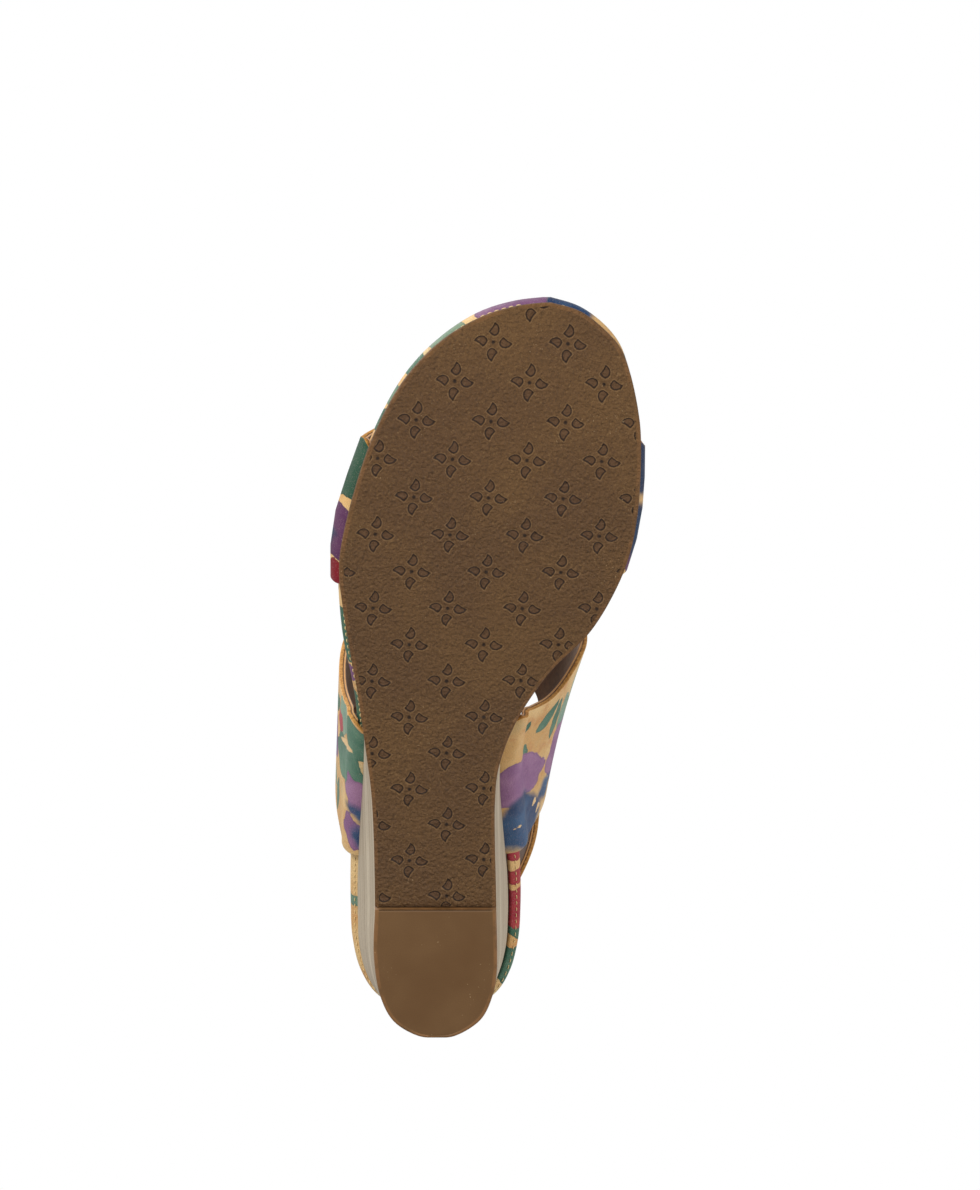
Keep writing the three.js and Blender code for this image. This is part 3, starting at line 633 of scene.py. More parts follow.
def wedge_bottom(y):
    """The top of the outsole, or of the top-lift behind it."""
    return np.where(y < breast, sole_line(y) + outsole_thickness, lift_top)


wedge_top = moved_in(seat_sides, lip_inner, lip_outer)
cover_shares = even_shares(last_length - wedge_front, 0.8, 0.08, (False, True))
corner_levels = [
    (sole_sides, 0, 0, wedge_bottom, gap),
    (wedge_top, 0, 0, seat_line, 0),
    (wedge_top, cover_thickness, cover_thickness, seat_line, 0),
    (sole_sides, cover_thickness, cover_thickness, wedge_bottom, gap),
]
outer, inner = carried(corner_levels, cover_shares, first=wedge_front)
corners = np.concatenate([outer, inner[::-1]])
climb = np.linspace(0, 1, 92)[None, :, None]
face = corners[:, :1] * (1 - climb) + corners[:, 1:2] * climb
normal = np.cross(np.gradient(face, axis=0), np.gradient(face, axis=1))
normal /= np.linalg.norm(normal, axis=2)[..., None] + 1e-9
joint = (face[..., 2] / layer_height + 0.5) % 1 - 0.5
groove_depth, groove_half = 0.13, 0.28
groove = groove_depth * np.exp(-((joint * layer_height / groove_half) ** 2))
groove = groove * smooth(climb[..., 0] * 40) * smooth((1 - climb[..., 0]) * 40)
facing = np.sign((normal * (face - face.mean((0, 1))))[..., :2].sum())
face = face - facing * normal * groove[..., None]
back = corners[:, 2:3] * (1 - climb[:, ::13]) + corners[:, 3:4] * climb[:, ::13]
cover = skin("wedge_side_cover", np.concatenate([face, back], 1), [range(face.shape[1] + back.shape[1])])

stacked = Finish("stacked_layers")
spot = stacked.place()
height = stacked.node("SeparateXYZ", None, {0: spot}, out="Z")
wobble = stacked.noise(spot, 40)
level = height / (layer_height / 1000) + (wobble - 0.5) * 0.12
between = (level + 0.5).math("FRACT") - 0.5
layer = (level + 0.5).math("FLOOR")
tone = stacked.node("TexWhiteNoise", {"noise_dimensions": "1D"}, {"W": layer}, out="Value")
streaks = stacked.noise(stacked.place((1, 1, 46)), 55, 4, 0.62)
hair = stacked.noise(stacked.place((1, 1, 30)), 420, 2, 0.6)
pressed = stacked.mix(tone, colour(190, 176, 152), colour(162, 146, 122))
pressed = stacked.mix(streaks.ramp(0.36, 0.66) * 0.55, pressed, colour(139, 126, 108))
pressed = stacked.mix(hair.ramp(0.45, 0.75) * 0.35, pressed, colour(196, 188, 172))
seam = between.math("ABSOLUTE").ramp(0.075, 0.01)
pressed = stacked.mix(seam * 0.75, pressed, colour(98, 82, 64))
relief = stacked.bump(streaks * 0.5 + hair * 0.5 - seam * 0.6, 0.00012, 0.6)
cover.data.materials.append(stacked.surface(
    Base_Color=pressed, Roughness=streaks.ramp(0.3, 0.7, 0.42, 0.6), Normal=relief, Specular_IOR_Level=0.45
))
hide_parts("wedge_cover")
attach(cover, "sandal")


def refinished(finish, *nodes):
    """Gives CAD nodes whose shape is right a better material."""
    for name in nodes:
        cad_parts[name].data.materials.clear()
        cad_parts[name].data.materials.append(finish)


cork = Finish("ground_cork")
spot = cork.place()
crumbs = cork.cells(spot, 520, out="Color")
crumb_tone = cork.node("SeparateColor", None, {0: crumbs}, out="Red")
crumb_edge = cork.cells(spot, 520, "DISTANCE_TO_EDGE")
cork_tone = cork.mix(crumb_tone, colour(203, 166, 118), colour(158, 116, 74))
cork_tone = cork.mix(crumb_tone.ramp(0.86, 0.9), cork_tone, colour(96, 62, 38))
cork_tone = cork.mix(crumb_edge.ramp(0.06, 0.0) * 0.5, cork_tone, colour(112, 78, 50))
crumble = cork.bump(crumb_edge.ramp(0, 0.2), 0.0002, 0.7)
cork_finish = cork.surface(Base_Color=cork_tone, Roughness=0.92, Normal=crumble)
refinished(cork_finish, "wedge_core")

# The bottom filler is felt, coloured dark brown so that where it shows in the thin gaps round the wedge it
# reads as a line of painted shade.
gap_shade_felt = Finish("filler_felt_gap_shade")
hairs = gap_shade_felt.noise(gap_shade_felt.place(), 1400, 3, 0.7)
refinished(gap_shade_felt.surface(
    Base_Color=gap_shade_felt.mix(hairs, colour(58, 42, 29), colour(92, 68, 47)), Roughness=0.95,
    Normal=gap_shade_felt.bump(hairs, 0.0002, 0.6),
), "bottom_filler")
refinished(lift_rubber.material, "lift_peg_1", "lift_peg_2")

steel = Finish("drawn_steel")
drawn = steel.noise(steel.place((1, 14, 1)), 160, 3, 0.6)
refinished(steel.surface(
    Base_Color=steel.mix(drawn, colour(150, 150, 148), colour(184, 184, 182)), Metallic=1.0,
    Roughness=drawn.ramp(0.3, 0.7, 0.32, 0.5), Normal=steel.bump(drawn, 0.00003, 0.5),
), "shank", "shank_rivet_front", "shank_rivet_rear", "heel_screw", *(f"heel_nail_{i}" for i in range(1, 5)))

# ---------------------------------------------------------------------------
# The footbed. A fibre board carries a foam pad, pressed a little hollow under
# the heel and the ball, and a thin leather sock is glued over the pad.
# ---------------------------------------------------------------------------
pad_from, pad_to = 4.1, 9.0
sock_from, sock_to = 9.3, 10.5

fibre = Finish("pressed_fibre")
strands = fibre.noise(fibre.place((1, 5, 1)), 380, 4, 0.65)
fibre_tone = fibre.mix(strands.ramp(0.35, 0.65), colour(196, 168, 128), colour(166, 136, 98))
fibre_relief = fibre.bump(strands, 0.0001, 0.6)
refinished(fibre.surface(Base_Color=fibre_tone, Roughness=0.9, Normal=fibre_relief), "insole_board")


def pressed_hollow(across, y):
    """How far the footbed is pressed down: a wide oval under the heel and another under the ball, both
    fading to nothing at the sides."""
    middle = np.clip(1 - (2 * across - 1) ** 2, 0, 1) ** 1.3
    heel = np.exp(-(((y - 0.86 * last_length) / 30) ** 2))
    ball = np.exp(-(((y - 0.3 * last_length) / 42) ** 2))
    return middle * (1.0 * heel + 0.7 * ball)


inwards_for_height = 0.12


def drawn_in(points, height):
    """The footbed's outer upper edge is drawn in a little behind the toe, the more the higher it stands."""
    y = points[..., 1]
    middle = (across_at(seat_sides[0], y) + across_at(seat_sides[1], y)) / 2
    near_edge = smooth((middle - points[..., 0]) / 25)
    moved = points.copy()
    moved[..., 0] += inwards_for_height * height * near_edge * smooth((y - 3) / 12) * smooth((54 - y) / 10)
    return moved


pad_profile = [
    (3.0, pad_from), (2.75, pad_from + 0.1), (2.62, pad_from + 0.4), (2.6, pad_from + 2.4),
    (2.6, pad_to - 1.0), (2.75, pad_to - 0.4), (3.1, pad_to - 0.1), (3.7, pad_to),
]
foot_shares = even_shares(last_length - 6, 1.4, 0.12)
pad_edge = [(seat_sides, by, by, seat_line, height) for by, height in pad_profile]
sections, across, on_pad, shut = slab(pad_edge, foot_shares, 64)
sections[..., 2] -= on_pad * pressed_hollow(across, sections[..., 1])
sections = drawn_in(sections, sections[..., 2] - seat_line(sections[..., 1]))
pad = skin("footbed_pad", sections, shut)
foam = Finish("open_foam")
spot = foam.place()
pores = foam.cells(spot, 1100)
foam_tone = foam.mix(pores.ramp(0.1, 0.5), colour(206, 196, 172), colour(232, 225, 208))
foam_relief = foam.bump(pores, 0.0003, 0.6)
pad.data.materials.append(foam.surface(Base_Color=foam_tone, Roughness=0.95, Normal=foam_relief))
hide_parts("footbed_foam")
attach(pad, "sandal")

sock_profile = [
    (2.5, sock_from), (2.1, sock_from + 0.05), (1.95, sock_from + 0.25), (1.9, sock_from + 0.6),
    (1.95, sock_to - 0.3), (2.15, sock_to - 0.08), (2.6, sock_to), (3.4, sock_to + 0.02),
]
sock_shares = even_shares(last_length - 4, 1.0, 0.1)
sock_edge = [(seat_sides, by, by, seat_line, height) for by, height in sock_profile]
sections, across, on_sock, shut = slab(sock_edge, sock_shares, 90)
under_sock = np.zeros_like(across)
under_sock[:, -back_columns:] = 1
sections[..., 2] -= (on_sock + under_sock) * pressed_hollow(across, sections[..., 1])
rim = rim_distance(sections, on_sock)
ends = np.minimum(sections[..., 1] - sections[..., 1].min(), sections[..., 1].max() - sections[..., 1])
line_in, line_depth, line_half = 4.2, 0.16, 0.35  # the line stamped round the sock
sections[..., 2] -= on_sock * line_depth * np.exp(-(((np.minimum(rim, ends) - line_in) / line_half) ** 2))
sections = drawn_in(sections, sections[..., 2] - seat_line(sections[..., 1]))
sock = skin("sock_lining", sections, shut, {
    "across": across, "station": sections[..., 1] / last_length, "rim": rim,
})


def pebbled(finish, spot, cell=620):
    """The height of a fine leather grain: rounded cells with creases between them, and finer wrinkles."""
    creases = finish.cells(spot, cell, "DISTANCE_TO_EDGE").ramp(0.0, 0.22)
    wrinkles = finish.noise(spot, 2.4 * cell, 3, 0.65)
    return creases * 0.7 + wrinkles * 0.3


calf = Finish("sock_calf")
spot = calf.place()
mottle = calf.noise(spot, 26, 4, 0.6)
calf_tone = calf.mix(mottle.ramp(0.35, 0.65), colour(176, 128, 82), colour(158, 110, 68))
fibres = calf.noise(spot, 900, 3, 0.7)
calf_tone = calf.mix(fibres.ramp(0.4, 0.75) * 0.4, calf_tone, colour(126, 84, 50))
station = calf.stored("station")
under_heel = station.ramp(0.66, 0.84) * station.ramp(1.0, 0.88)
under_ball = station.ramp(0.12, 0.3) * station.ramp(0.48, 0.32)
off_middle = (calf.stored("across") - 0.5).math("ABSOLUTE")
patchy = calf.noise(spot, 60, 3, 0.6).ramp(0.25, 0.6)
trodden = (under_heel + under_ball) * off_middle.ramp(0.44, 0.16) * patchy
calf_tone = calf.mix(trodden * 0.35, calf_tone, colour(118, 78, 48))
calf_tone = calf.mix(calf.stored("rim").ramp(1.2, 0.2) * 0.4, calf_tone, colour(132, 92, 56))
sock_relief = calf.bump(pebbled(calf, spot, 700), 0.00012, 0.6)
sock.data.materials.append(calf.surface(
    Base_Color=calf_tone, Roughness=trodden * -0.14 + 0.58, Normal=sock_relief, Specular_IOR_Level=0.4
))
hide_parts("sock")
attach(sock, "sandal")

# ---------------------------------------------------------------------------
# The footbed wrap. A painted leather strip folded round the footbed's edge and
# stitched low down, just above the wedge, with a light thread.
# ---------------------------------------------------------------------------
ring_steps = 3
wrap_ring = curve_through([
    (2.8, 2.05), (1.95, 2.6), (1.15, 3.5), (0.4, 4.7), (0.05, 6.1), (0.0, 7.6), (0.2, 9.2), (0.62, 10.25),
    (1.08, 10.5), (1.45, 10.25), (1.5, 9.4), (1.35, 7.6), (1.4, 6.0), (2.0, 4.7), (3.0, 3.4), (3.7, 2.6),
    (3.55, 2.1),
], ring_steps)
wrap_side = 6 * ring_steps  # the ring's point where the wrap stands upright
wrap_middle = 6.5
wrap_shares = even_shares(last_length - 2, 1.0, 0.1)
outer, inner = carried([(seat_sides, by, by, seat_line, h) for by, h in wrap_ring], wrap_shares)
sections = np.concatenate([outer, inner[::-1]])
sections = drawn_in(sections, sections[..., 2] - seat_line(sections[..., 1]))
around = run_along(sections[:, wrap_side])
up = np.broadcast_to(wrap_ring[:, 1], sections.shape[:2])


def blot(x, y, centre, size, turn=0.0, lobes=0, bite=0.0):
    """Signed distance in millimetres to a turned oval whose edge may wave in and out in lobes."""
    c, s = math.cos(turn), math.sin(turn)
    dx, dy = x - centre[0], y - centre[1]
    u, v = (c * dx + s * dy) / size[0], (c * dy - s * dx) / size[1]
    edge = 1 + bite * np.cos(lobes * np.arctan2(v, u))
    return (np.hypot(u, v) - edge) * min(size)


def leaf(x, y, centre, length, width, turn):
    """Signed distance to a pointed leaf: the overlap of two equal circles."""
    c, s = math.cos(turn), math.sin(turn)
    dx, dy = x - centre[0], y - centre[1]
    u, v = c * dx + s * dy, np.abs(c * dy - s * dx)
    radius = (length**2 + width**2) / (4 * width)
    return np.hypot(u, v + radius - width / 2) - radius


paints = ("green", "pale", "violet", "blue", "rose", "gold")


def painted(x, y, shapes):
    """For each paint, the distance to its nearest shape, held to 6 mm. x runs along the leather, y across."""
    furthest = 6.0
    fields = {name: np.full(x.shape, furthest) for name in paints}
    for name, form, *rest in shapes:
        distance = blot(x, y, *rest) if form == "blot" else leaf(x, y, *rest)
        fields[name] = np.minimum(fields[name], distance)
    return {name: np.clip(value, -furthest, furthest) for name, value in fields.items()}


def scattered(start, end, width, seed):
    """A painter's spray of blossoms with leaves between them, over a length of leather."""
    draw = np.random.default_rng(seed)
    shapes = []
    x = start
    while x < end:
        y = draw.uniform(0.1, 0.9) * width
        big = draw.uniform(0.18, 0.3) * max(width, 26)
        kind = draw.choice(["violet", "violet", "rose", "blue"])
        turn = draw.uniform(0, 3)
        shapes.append((kind, "blot", (x, y), (big, big * 0.8), turn, int(draw.integers(4, 7)), 0.13))
        if kind == "violet":
            throat = (x + big * 0.35, y - big * 0.2)
            shapes.append(("blue", "blot", throat, (big * 0.5, big * 0.35), turn, 3, 0.2))
        shapes.append(("gold", "blot", (x, y), (big * 0.13, big * 0.1), turn, 5, 0.2))
        for _ in range(6):
            angle = draw.uniform(0, 2 * math.pi)
            reach = big * draw.uniform(1.1, 1.7)
            centre = (x + reach * math.cos(angle), y + reach * math.sin(angle))
            paint = draw.choice(["green", "green", "pale"])
            size = big * draw.uniform(0.9, 1.5)
            shapes.append((paint, "leaf", centre, size, size * 0.36, angle + draw.uniform(-0.5, 0.5)))
        x += big * draw.uniform(1.3, 1.7)
    return shapes


def painted_leather(name, deep=1.0, sheen=0.28):
    """Grained leather with a thick floral print on its face and raw tan edges where it is cut. The paints are
    the deeper the smaller deep is."""
    hide = Finish(name)
    spot = hide.place()
    drift = hide.noise(spot, 60, 3, 0.6)
    fray = (hide.noise(spot, 420, 3, 0.6) - 0.5) * 1.3 + (drift - 0.5) * 2.4
    broad, close = hide.noise(spot, 45, 4, 0.6), hide.noise(spot, 130, 4, 0.7)
    ground_tone = hide.mix(broad.ramp(0.35, 0.66), colour(220, 186, 130), colour(204, 160, 100))
    ground_tone = hide.mix(close.ramp(0.48, 0.68) * 0.6, ground_tone, colour(190, 128, 74))
    washed = hide.noise(hide.place((1, 1, 1.3)), 38, 3, 0.6)
    ground_tone = hide.mix(washed.ramp(0.56, 0.66) * 0.3, ground_tone, colour(178, 178, 140))

    def ink(red, green, blue):
        """A paint's colour, pulled away from its own grey as it deepens."""
        grey = (red + green + blue) / 3
        return colour(*(max(deep * (grey + (c - grey) * (2.1 - 1.1 * deep)), 4) for c in (red, green, blue)))

    def patch(tone, field, first, second, cloud_scale):
        """Lays one paint: its two tones clouded together, with a darker rim where the paint pooled."""
        cloud = hide.noise(spot, cloud_scale, 3, 0.6).ramp(0.32, 0.68)
        wet = hide.stored(field) + fray
        paint = hide.mix(cloud, first, second)
        rim = wet.ramp(-0.9, -0.25) * 0.35
        paint = hide.mix(rim, paint, hide.mix(0.5, first, colour(40, 36, 44)))
        return hide.mix(wet.ramp(0.12, -0.12), tone, paint)

    tone = patch(ground_tone, "pale", ink(146, 166, 138), ink(116, 150, 132), 90)
    tone = patch(tone, "green", ink(58, 104, 84), ink(96, 132, 110), 80)
    tone = patch(tone, "rose", ink(164, 50, 66), ink(200, 88, 84), 90)
    tone = patch(tone, "violet", ink(132, 90, 130), ink(156, 114, 148), 85)
    soft = hide.stored("blue") + fray * 1.6
    blue = hide.mix(drift.ramp(0.35, 0.6), ink(34, 60, 98), ink(58, 92, 128))
    tone = hide.mix(soft.ramp(1.2, -2.4), tone, blue)
    tone = hide.mix((hide.stored("gold") + fray).ramp(0.12, -0.12), tone, colour(226, 190, 138))
    grain_height = pebbled(hide, spot, 1500)
    speckle = hide.noise(spot, 2300, 2, 0.7)
    tone = hide.mix(speckle.ramp(0.54, 0.8) * 0.3, tone, colour(226, 196, 186))
    # Painted shade: the leather is darkened in the creases of its grain.
    tone = hide.mix((1 - grain_height).ramp(0.45, 1.0) * 0.25, tone, colour(70, 52, 50))
    rough = drift.ramp(0.3, 0.7, 0.36, 0.5)
    depth = hide.stored("depth")
    bare = depth.ramp(0.06, 0.16)
    cut = hide.noise(spot, 950, 4, 0.7)
    raw = hide.mix(cut.ramp(0.3, 0.7), colour(206, 154, 84), colour(158, 108, 52))
    raw = hide.mix(depth.ramp(0.85, 1.3) * cut.ramp(0.25, 0.6) * 0.8, raw, colour(84, 54, 30))
    tone = hide.mix(bare, tone, raw)
    height = grain_height * (1 - bare) + cut * bare
    return hide.surface(
        Base_Color=tone, Roughness=bare * 0.3 + rough, Normal=hide.bump(height, 0.00016, 0.6),
        Specular_IOR_Level=sheen,
    )


painted_hide = painted_leather("painted_leather")
toe_hide = painted_leather("painted_toe_leather", 0.6, 0.1)
# The wrap's leather is a darker copy of the painted leather, its paints deepened to 0.82: partly the strip's
# deeper paint, partly painted shade.
wrap_hide_shaded = painted_leather("painted_wrap_leather_shaded", 0.82, 0.15)
heel_row = len(wrap_shares)


def wrap_place(key, station):
    """How far round the wrap a station lies, on its outer or its inner side."""
    y = sections[:, wrap_side, 1]
    if key == "outer":
        return np.interp(station, y[:heel_row], around[:heel_row])
    return np.interp(station, y[heel_row:][::-1], around[heel_row:][::-1])


def band(paint, key, start, end):
    """A splash of one paint over the wrap's whole height, between two stations on one side, its edges
    slanting more or less with its place."""
    a, b = wrap_place(key, start), wrap_place(key, end)
    return paint, "blot", ((a + b) / 2, wrap_middle), (abs(b - a) / 2, 11), 0.4 * math.sin(start), 5, 0.1


wrap_shapes = [
    band("green", "outer", 99, 116), band("violet", "outer", 118, 124), band("green", "outer", 126, 141),
    band("violet", "outer", 144, 158), band("rose", "outer", 160, 172), band("green", "outer", 176, 187),
    band("pale", "outer", 208, 212), band("green", "outer", 60, 74), band("blue", "outer", 76, 88),
    band("pale", "outer", 10, 17), band("green", "outer", 19, 25), band("pale", "outer", 28, 34),
    band("green", "outer", 36, 42), ("violet", "blot", (6, wrap_middle), (15, 13), 0.0, 5, 0.05),
    ("blue", "blot", (around[-1] - 3, wrap_middle), (12, 13), 0.0, 5, 0.05),
    band("rose", "inner", 198, 204.5), band("rose", "inner", 206, 220), band("green", "inner", 221.5, 226),
    band("green", "inner", 228.5, 242), band("violet", "inner", 174, 188), band("rose", "inner", 191, 196),
    band("green", "inner", 150, 166),
    band("violet", "inner", 112, 128), band("blue", "inner", 96, 108), band("green", "inner", 20, 36),
    band("rose", "inner", 40, 54), band("violet", "inner", 60, 76), band("green", "inner", 80, 92),
]
fields = painted(around[:, None] + 0 * up, up, wrap_shapes)
wrap = skin("footbed_edge_wrap", sections, None, {**fields, "depth": 0 * up})
wrap.data.materials.append(wrap_hide_shaded)
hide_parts("footbed_wrap")
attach(wrap, "sandal")


def stitches(name, path, normals, pitch, length, radius):
    """A row of small thread bumps along a path: each is an oval ring carried along a short arc that rises
    from the leather and goes back into it."""
    run = run_along(path)
    count = int(run[-1] / pitch)
    along = np.linspace(-0.5, 0.5, 6)[None, :, None]
    centre = ((np.arange(count) + 0.5) * pitch)[:, None, None]
    place = centre + along * length

    def at(values):
        return np.stack([np.interp(place[..., 0], run, values[:, i]) for i in range(3)], -1)

    middle, out = at(path), at(normals)
    ahead = np.gradient(middle, axis=1)
    ahead /= np.linalg.norm(ahead, axis=2)[..., None]
    beside = np.cross(ahead, out)
    arch = np.sqrt(np.clip(1 - (2 * along) ** 2, 0.02, 1))
    angle = np.linspace(0, 2 * math.pi, 7)[None, None, :-1, None]
    ring = (
        middle[:, :, None] + out[:, :, None] * (arch[:, :, None] * (0.55 + np.cos(angle)) * radius)
        + beside[:, :, None] * (arch[:, :, None] * np.sin(angle) * radius)
    )
    rings, sides = ring.shape[1:3]
    points = ring.reshape(-1, 3)
    base = (np.arange(count) * rings * sides)[:, None, None]
    r, k = np.arange(rings - 1)[None, :, None], np.arange(sides)[None, None]
    a, b = base + r * sides + k, base + r * sides + (k + 1) % sides
    quads = np.stack([a, b, b + sides, a + sides], -1).reshape(-1, 4).tolist()
    caps = [list(first + np.arange(sides)[::-1]) for first in base.ravel()]
    caps += [list(first + (rings - 1) * sides + np.arange(sides)) for first in base.ravel()]
    return piece(name, points, quads + [[int(i) for i in cap] for cap in caps], {})


thread = Finish("waxed_thread")
twist = thread.noise(thread.place(), 3000, 2, 0.6)
thread_finish = thread.surface(
    Base_Color=thread.mix(twist, colour(214, 178, 110), colour(236, 212, 160)), Roughness=0.55,
    Normal=thread.bump(twist, 0.00005, 0.5),
)
seam_outer, seam_inner = carried(
    [(seat_sides, 1.35, 1.35, seat_line, 3.15), (seat_sides, 0.4, 0.4, seat_line, 2.6)], wrap_shares
)
seam_path = np.concatenate([seam_outer[:, 0], seam_inner[::-1, 0]])
seam_path = drawn_in(seam_path, seam_path[:, 2] - seat_line(seam_path[:, 1]))
seam_out = np.concatenate([seam_outer[:, 1] - seam_outer[:, 0], (seam_inner[:, 1] - seam_inner[:, 0])[::-1]])
seam_out /= np.linalg.norm(seam_out, axis=1)[:, None]
wrap_seam = stitches("wrap_stitching", seam_path[4:-4], seam_out[4:-4], 2.3, 1.5, 0.2)
wrap_seam.data.materials.append(thread_finish)
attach(wrap_seam, "sandal")

# ---------------------------------------------------------------------------
# The toe strap. Painted leather over a suede lining, turned in under the
# footbed on both sides and up over the ball of the foot, its front edge sloping.
# ---------------------------------------------------------------------------
margin_thickness, lining_thickness, layer_gap = 1.3, 0.8, 0.1
strap_total = margin_thickness + layer_gap + lining_thickness
turned_in = 9.0
arch_rows = 34
strap_columns = 5
per_row = 6  # fine rows for each row
# The way round the footbed's edge, as places outside the seat's outline and heights above the seat.
way_up = [
    (-lip_inner - turned_in, gap), (-lip_inner - 2, gap), (-lip_inner + 0.8, gap + 0.05),
    (strap_total - 1.9, 1.5), (strap_total - 0.2, 3.5), (strap_total + 0.7, 6.3),
    (strap_total + 0.8, sock_to),
]
foot_rows = len(way_up) - 1
lining_start = 20  # the fine rows of leather alone before the lining begins
# How far forward the front edge swings at each point of way_up, on each side.
front_steps = {"outer": (0, 0, 0, 3.0, 4.1, 4.0, 3.3), "inner": (0, 0, 2.0, 3.1, 1.8, 0.3, -0.9)}


def evenly(points, rows):
    """Points at equal distances along the smooth curve through the given ones."""
    line = curve_through(points, 60)
    run = run_along(line)
    even = np.linspace(0, run[-1], rows + 1)
    return np.stack([np.interp(even, run, line[:, i]) for i in range(3)], -1)


def on_foot(table):
    """Points from per cent of the ball's width and the last's length, and a height above the seat line."""
    table = np.array(table, float)
    x, y = table[:, 0] * ball_width / 100, table[:, 1] * last_length / 100
    return np.stack([x, y, seat_line(y) + table[:, 2]], -1)


def round_the_edge(key, stations, snug):
    """Rows of points from under the footbed, out round its edge and up, at stations in per cent. The front
    edge swings forward where it comes out from under the footbed, and the rear edge stays upright. Above the
    fold the leather lies closer by snug."""
    side, outwards = (seat_sides[0], 1) if key == "inner" else (seat_sides[1], -1)
    at_front = np.linspace(1, 0, len(stations)) ** 2
    rows = []
    for (out, height), step in zip(way_up, front_steps[key]):
        y = np.asarray(stations, float) * last_length / 100 - step * at_front
        closer = snug * smooth((height - 1.5) / 3)
        rows.append(above(seat_line, across_at(side, y) + outwards * (out - closer), y, height))
    return np.stack(rows)


def strap_rows(front, rear, outer_stations, inner_stations, snug=0.0):
    """A strap's face as rows of five points: round one edge of the footbed, over the foot between two edge
    curves, and down round the other edge."""
    feet = {
        "outer": round_the_edge("outer", np.linspace(*outer_stations, strap_columns), snug),
        "inner": round_the_edge("inner", np.linspace(*inner_stations, strap_columns), snug),
    }
    edges = [
        evenly([feet["outer"][-1, end], *on_foot(table), feet["inner"][-1, end]], arch_rows)
        for table, end in ((front, 0), (rear, -1))
    ]
    share = np.linspace(0, 1, strap_columns)[None, :, None]
    arch = edges[0][1:-1, None] * (1 - share) + edges[1][1:-1, None] * share
    return np.concatenate([feet["outer"], arch, feet["inner"][::-1]])


easing_rounds = 90


def refined(rows, columns=41):
    """The same face with more rows, on smooth curves along it, and more columns across it. Where the leather
    leaves the footbed, each row gives way to the mean of those round it."""
    fine = np.stack([curve_through(rows[:, c], per_row) for c in range(rows.shape[1])], 1)
    eased = fine.copy()
    for _ in range(easing_rounds):
        eased[1:-1] += 0.25 * (eased[:-2] - 2 * eased[1:-1] + eased[2:])
    index = np.arange(len(fine))
    from_end = np.minimum(index, index[::-1]) / per_row
    near_foot = smooth((from_end - foot_rows + 1) / 1.2) * smooth((foot_rows + 7 - from_end) / 4)
    fine = fine + (eased - fine) * near_foot[:, None, None]
    at = np.linspace(0, rows.shape[1] - 1, columns)
    before = np.minimum(at.astype(int), rows.shape[1] - 2)
    part = (at - before)[None, :, None]
    return fine[:, before] * (1 - part) + fine[:, before + 1] * part


def unit_normals(face):
    """The face's unit normals: along crossed with across, over its length."""
    along, over = np.gradient(face, axis=0), np.gradient(face, axis=1)
    normal = np.cross(along, over)
    return normal / (np.linalg.norm(normal, axis=2)[..., None] + 1e-9)


corner_steps = 5


def strap_layer(face, top, bottom, radii, outwards, lift, ends_round):
    """One layer of a strap between two depths under its face, raised by lift, with quarter circles of two
    radii at its edges and, at the ends named, of a third. Returns the sections, and each point's place along
    the strap, across it, and its depth."""
    normal = unit_normals(face) * outwards
    width = np.linalg.norm(np.diff(face, axis=1), axis=2).sum(1)[:, None]
    length = run_along(face.mean(1))[:, None]
    turn = np.linspace(0, math.pi / 2, corner_steps)
    corner_in, corner_down = 1 - np.sin(turn), 1 - np.cos(turn)
    inset = np.concatenate([radii[0] * corner_in, radii[1] * corner_in[::-1]])
    down = np.concatenate([top + radii[0] * corner_down, bottom - radii[1] * corner_down[::-1]])
    middle = np.linspace(0, 1, face.shape[1])[None, 1:-1]
    face_share = max(radii) / width + (1 - 2 * max(radii) / width) * middle
    near = inset[None] / width
    share = np.concatenate([face_share, 1 - near, face_share[:, ::-1], near[:, ::-1]], 1)
    count = face_share.shape[1]
    depth = np.concatenate([np.full(count, top), down, np.full(count, bottom), down[::-1]])[None] + 0 * share
    at = np.clip(share, 0, 1) * (face.shape[1] - 1)
    before = np.minimum(at.astype(int), face.shape[1] - 2)
    part = (at - before)[..., None]
    rows = np.arange(len(face))[:, None]
    on_face = face[rows, before] * (1 - part) + face[rows, before + 1] * part
    out = normal[rows, before] * (1 - part) + normal[rows, before + 1] * part
    out /= np.linalg.norm(out, axis=2)[..., None]
    taken = np.zeros((len(face), 1))
    for end, radius in zip((0, -1), ends_round):
        if radius:
            away = np.clip(np.abs(length - length[end]) / radius, 0, 1)
            taken += radius * (1 - np.sqrt(np.clip(1 - (1 - away) ** 2, 0, 1)))
    to_middle = (top + bottom) / 2 - depth
    squeezed = depth + np.sign(to_middle) * np.minimum(taken, np.abs(to_middle) * 0.98)
    sections = on_face + out * (lift[:, None] - squeezed)[..., None]
    return sections, {"along": length + 0 * share, "across": share * width, "depth": depth - top + taken}


toe_rows = strap_rows(
    [
        (-17.4, 18.3, 22.5), (-4.3, 17.1, 30), (15.2, 16.3, 35.7), (36.9, 16.3, 34.7), (54.2, 17.1, 27),
        (64, 17.9, 18.3),
    ],
    [
        (-33.2, 35.2, 23.8), (-27.1, 34.9, 34.7), (-10.8, 33.9, 45.7), (10.8, 33.1, 50.6), (32.5, 33.1, 48.6),
        (49.9, 33.5, 40.6), (61.8, 34.1, 29.7),
    ],
    (18.7, 35.5), (18.3, 34.5), snug=0.6,
)
toe_face = refined(toe_rows)


def sheet_shut(face, edge):
    """The end of a strap layer: quads from its face to its back, and one face at each long edge."""
    back = face + edge
    quads = [[i, i + 1, back + face - 2 - i, back + face - 1 - i] for i in range(face - 1)]
    return quads + [[*range(face - 1, back + 1)], [0, *range(back + face - 1, back + face + edge)]]


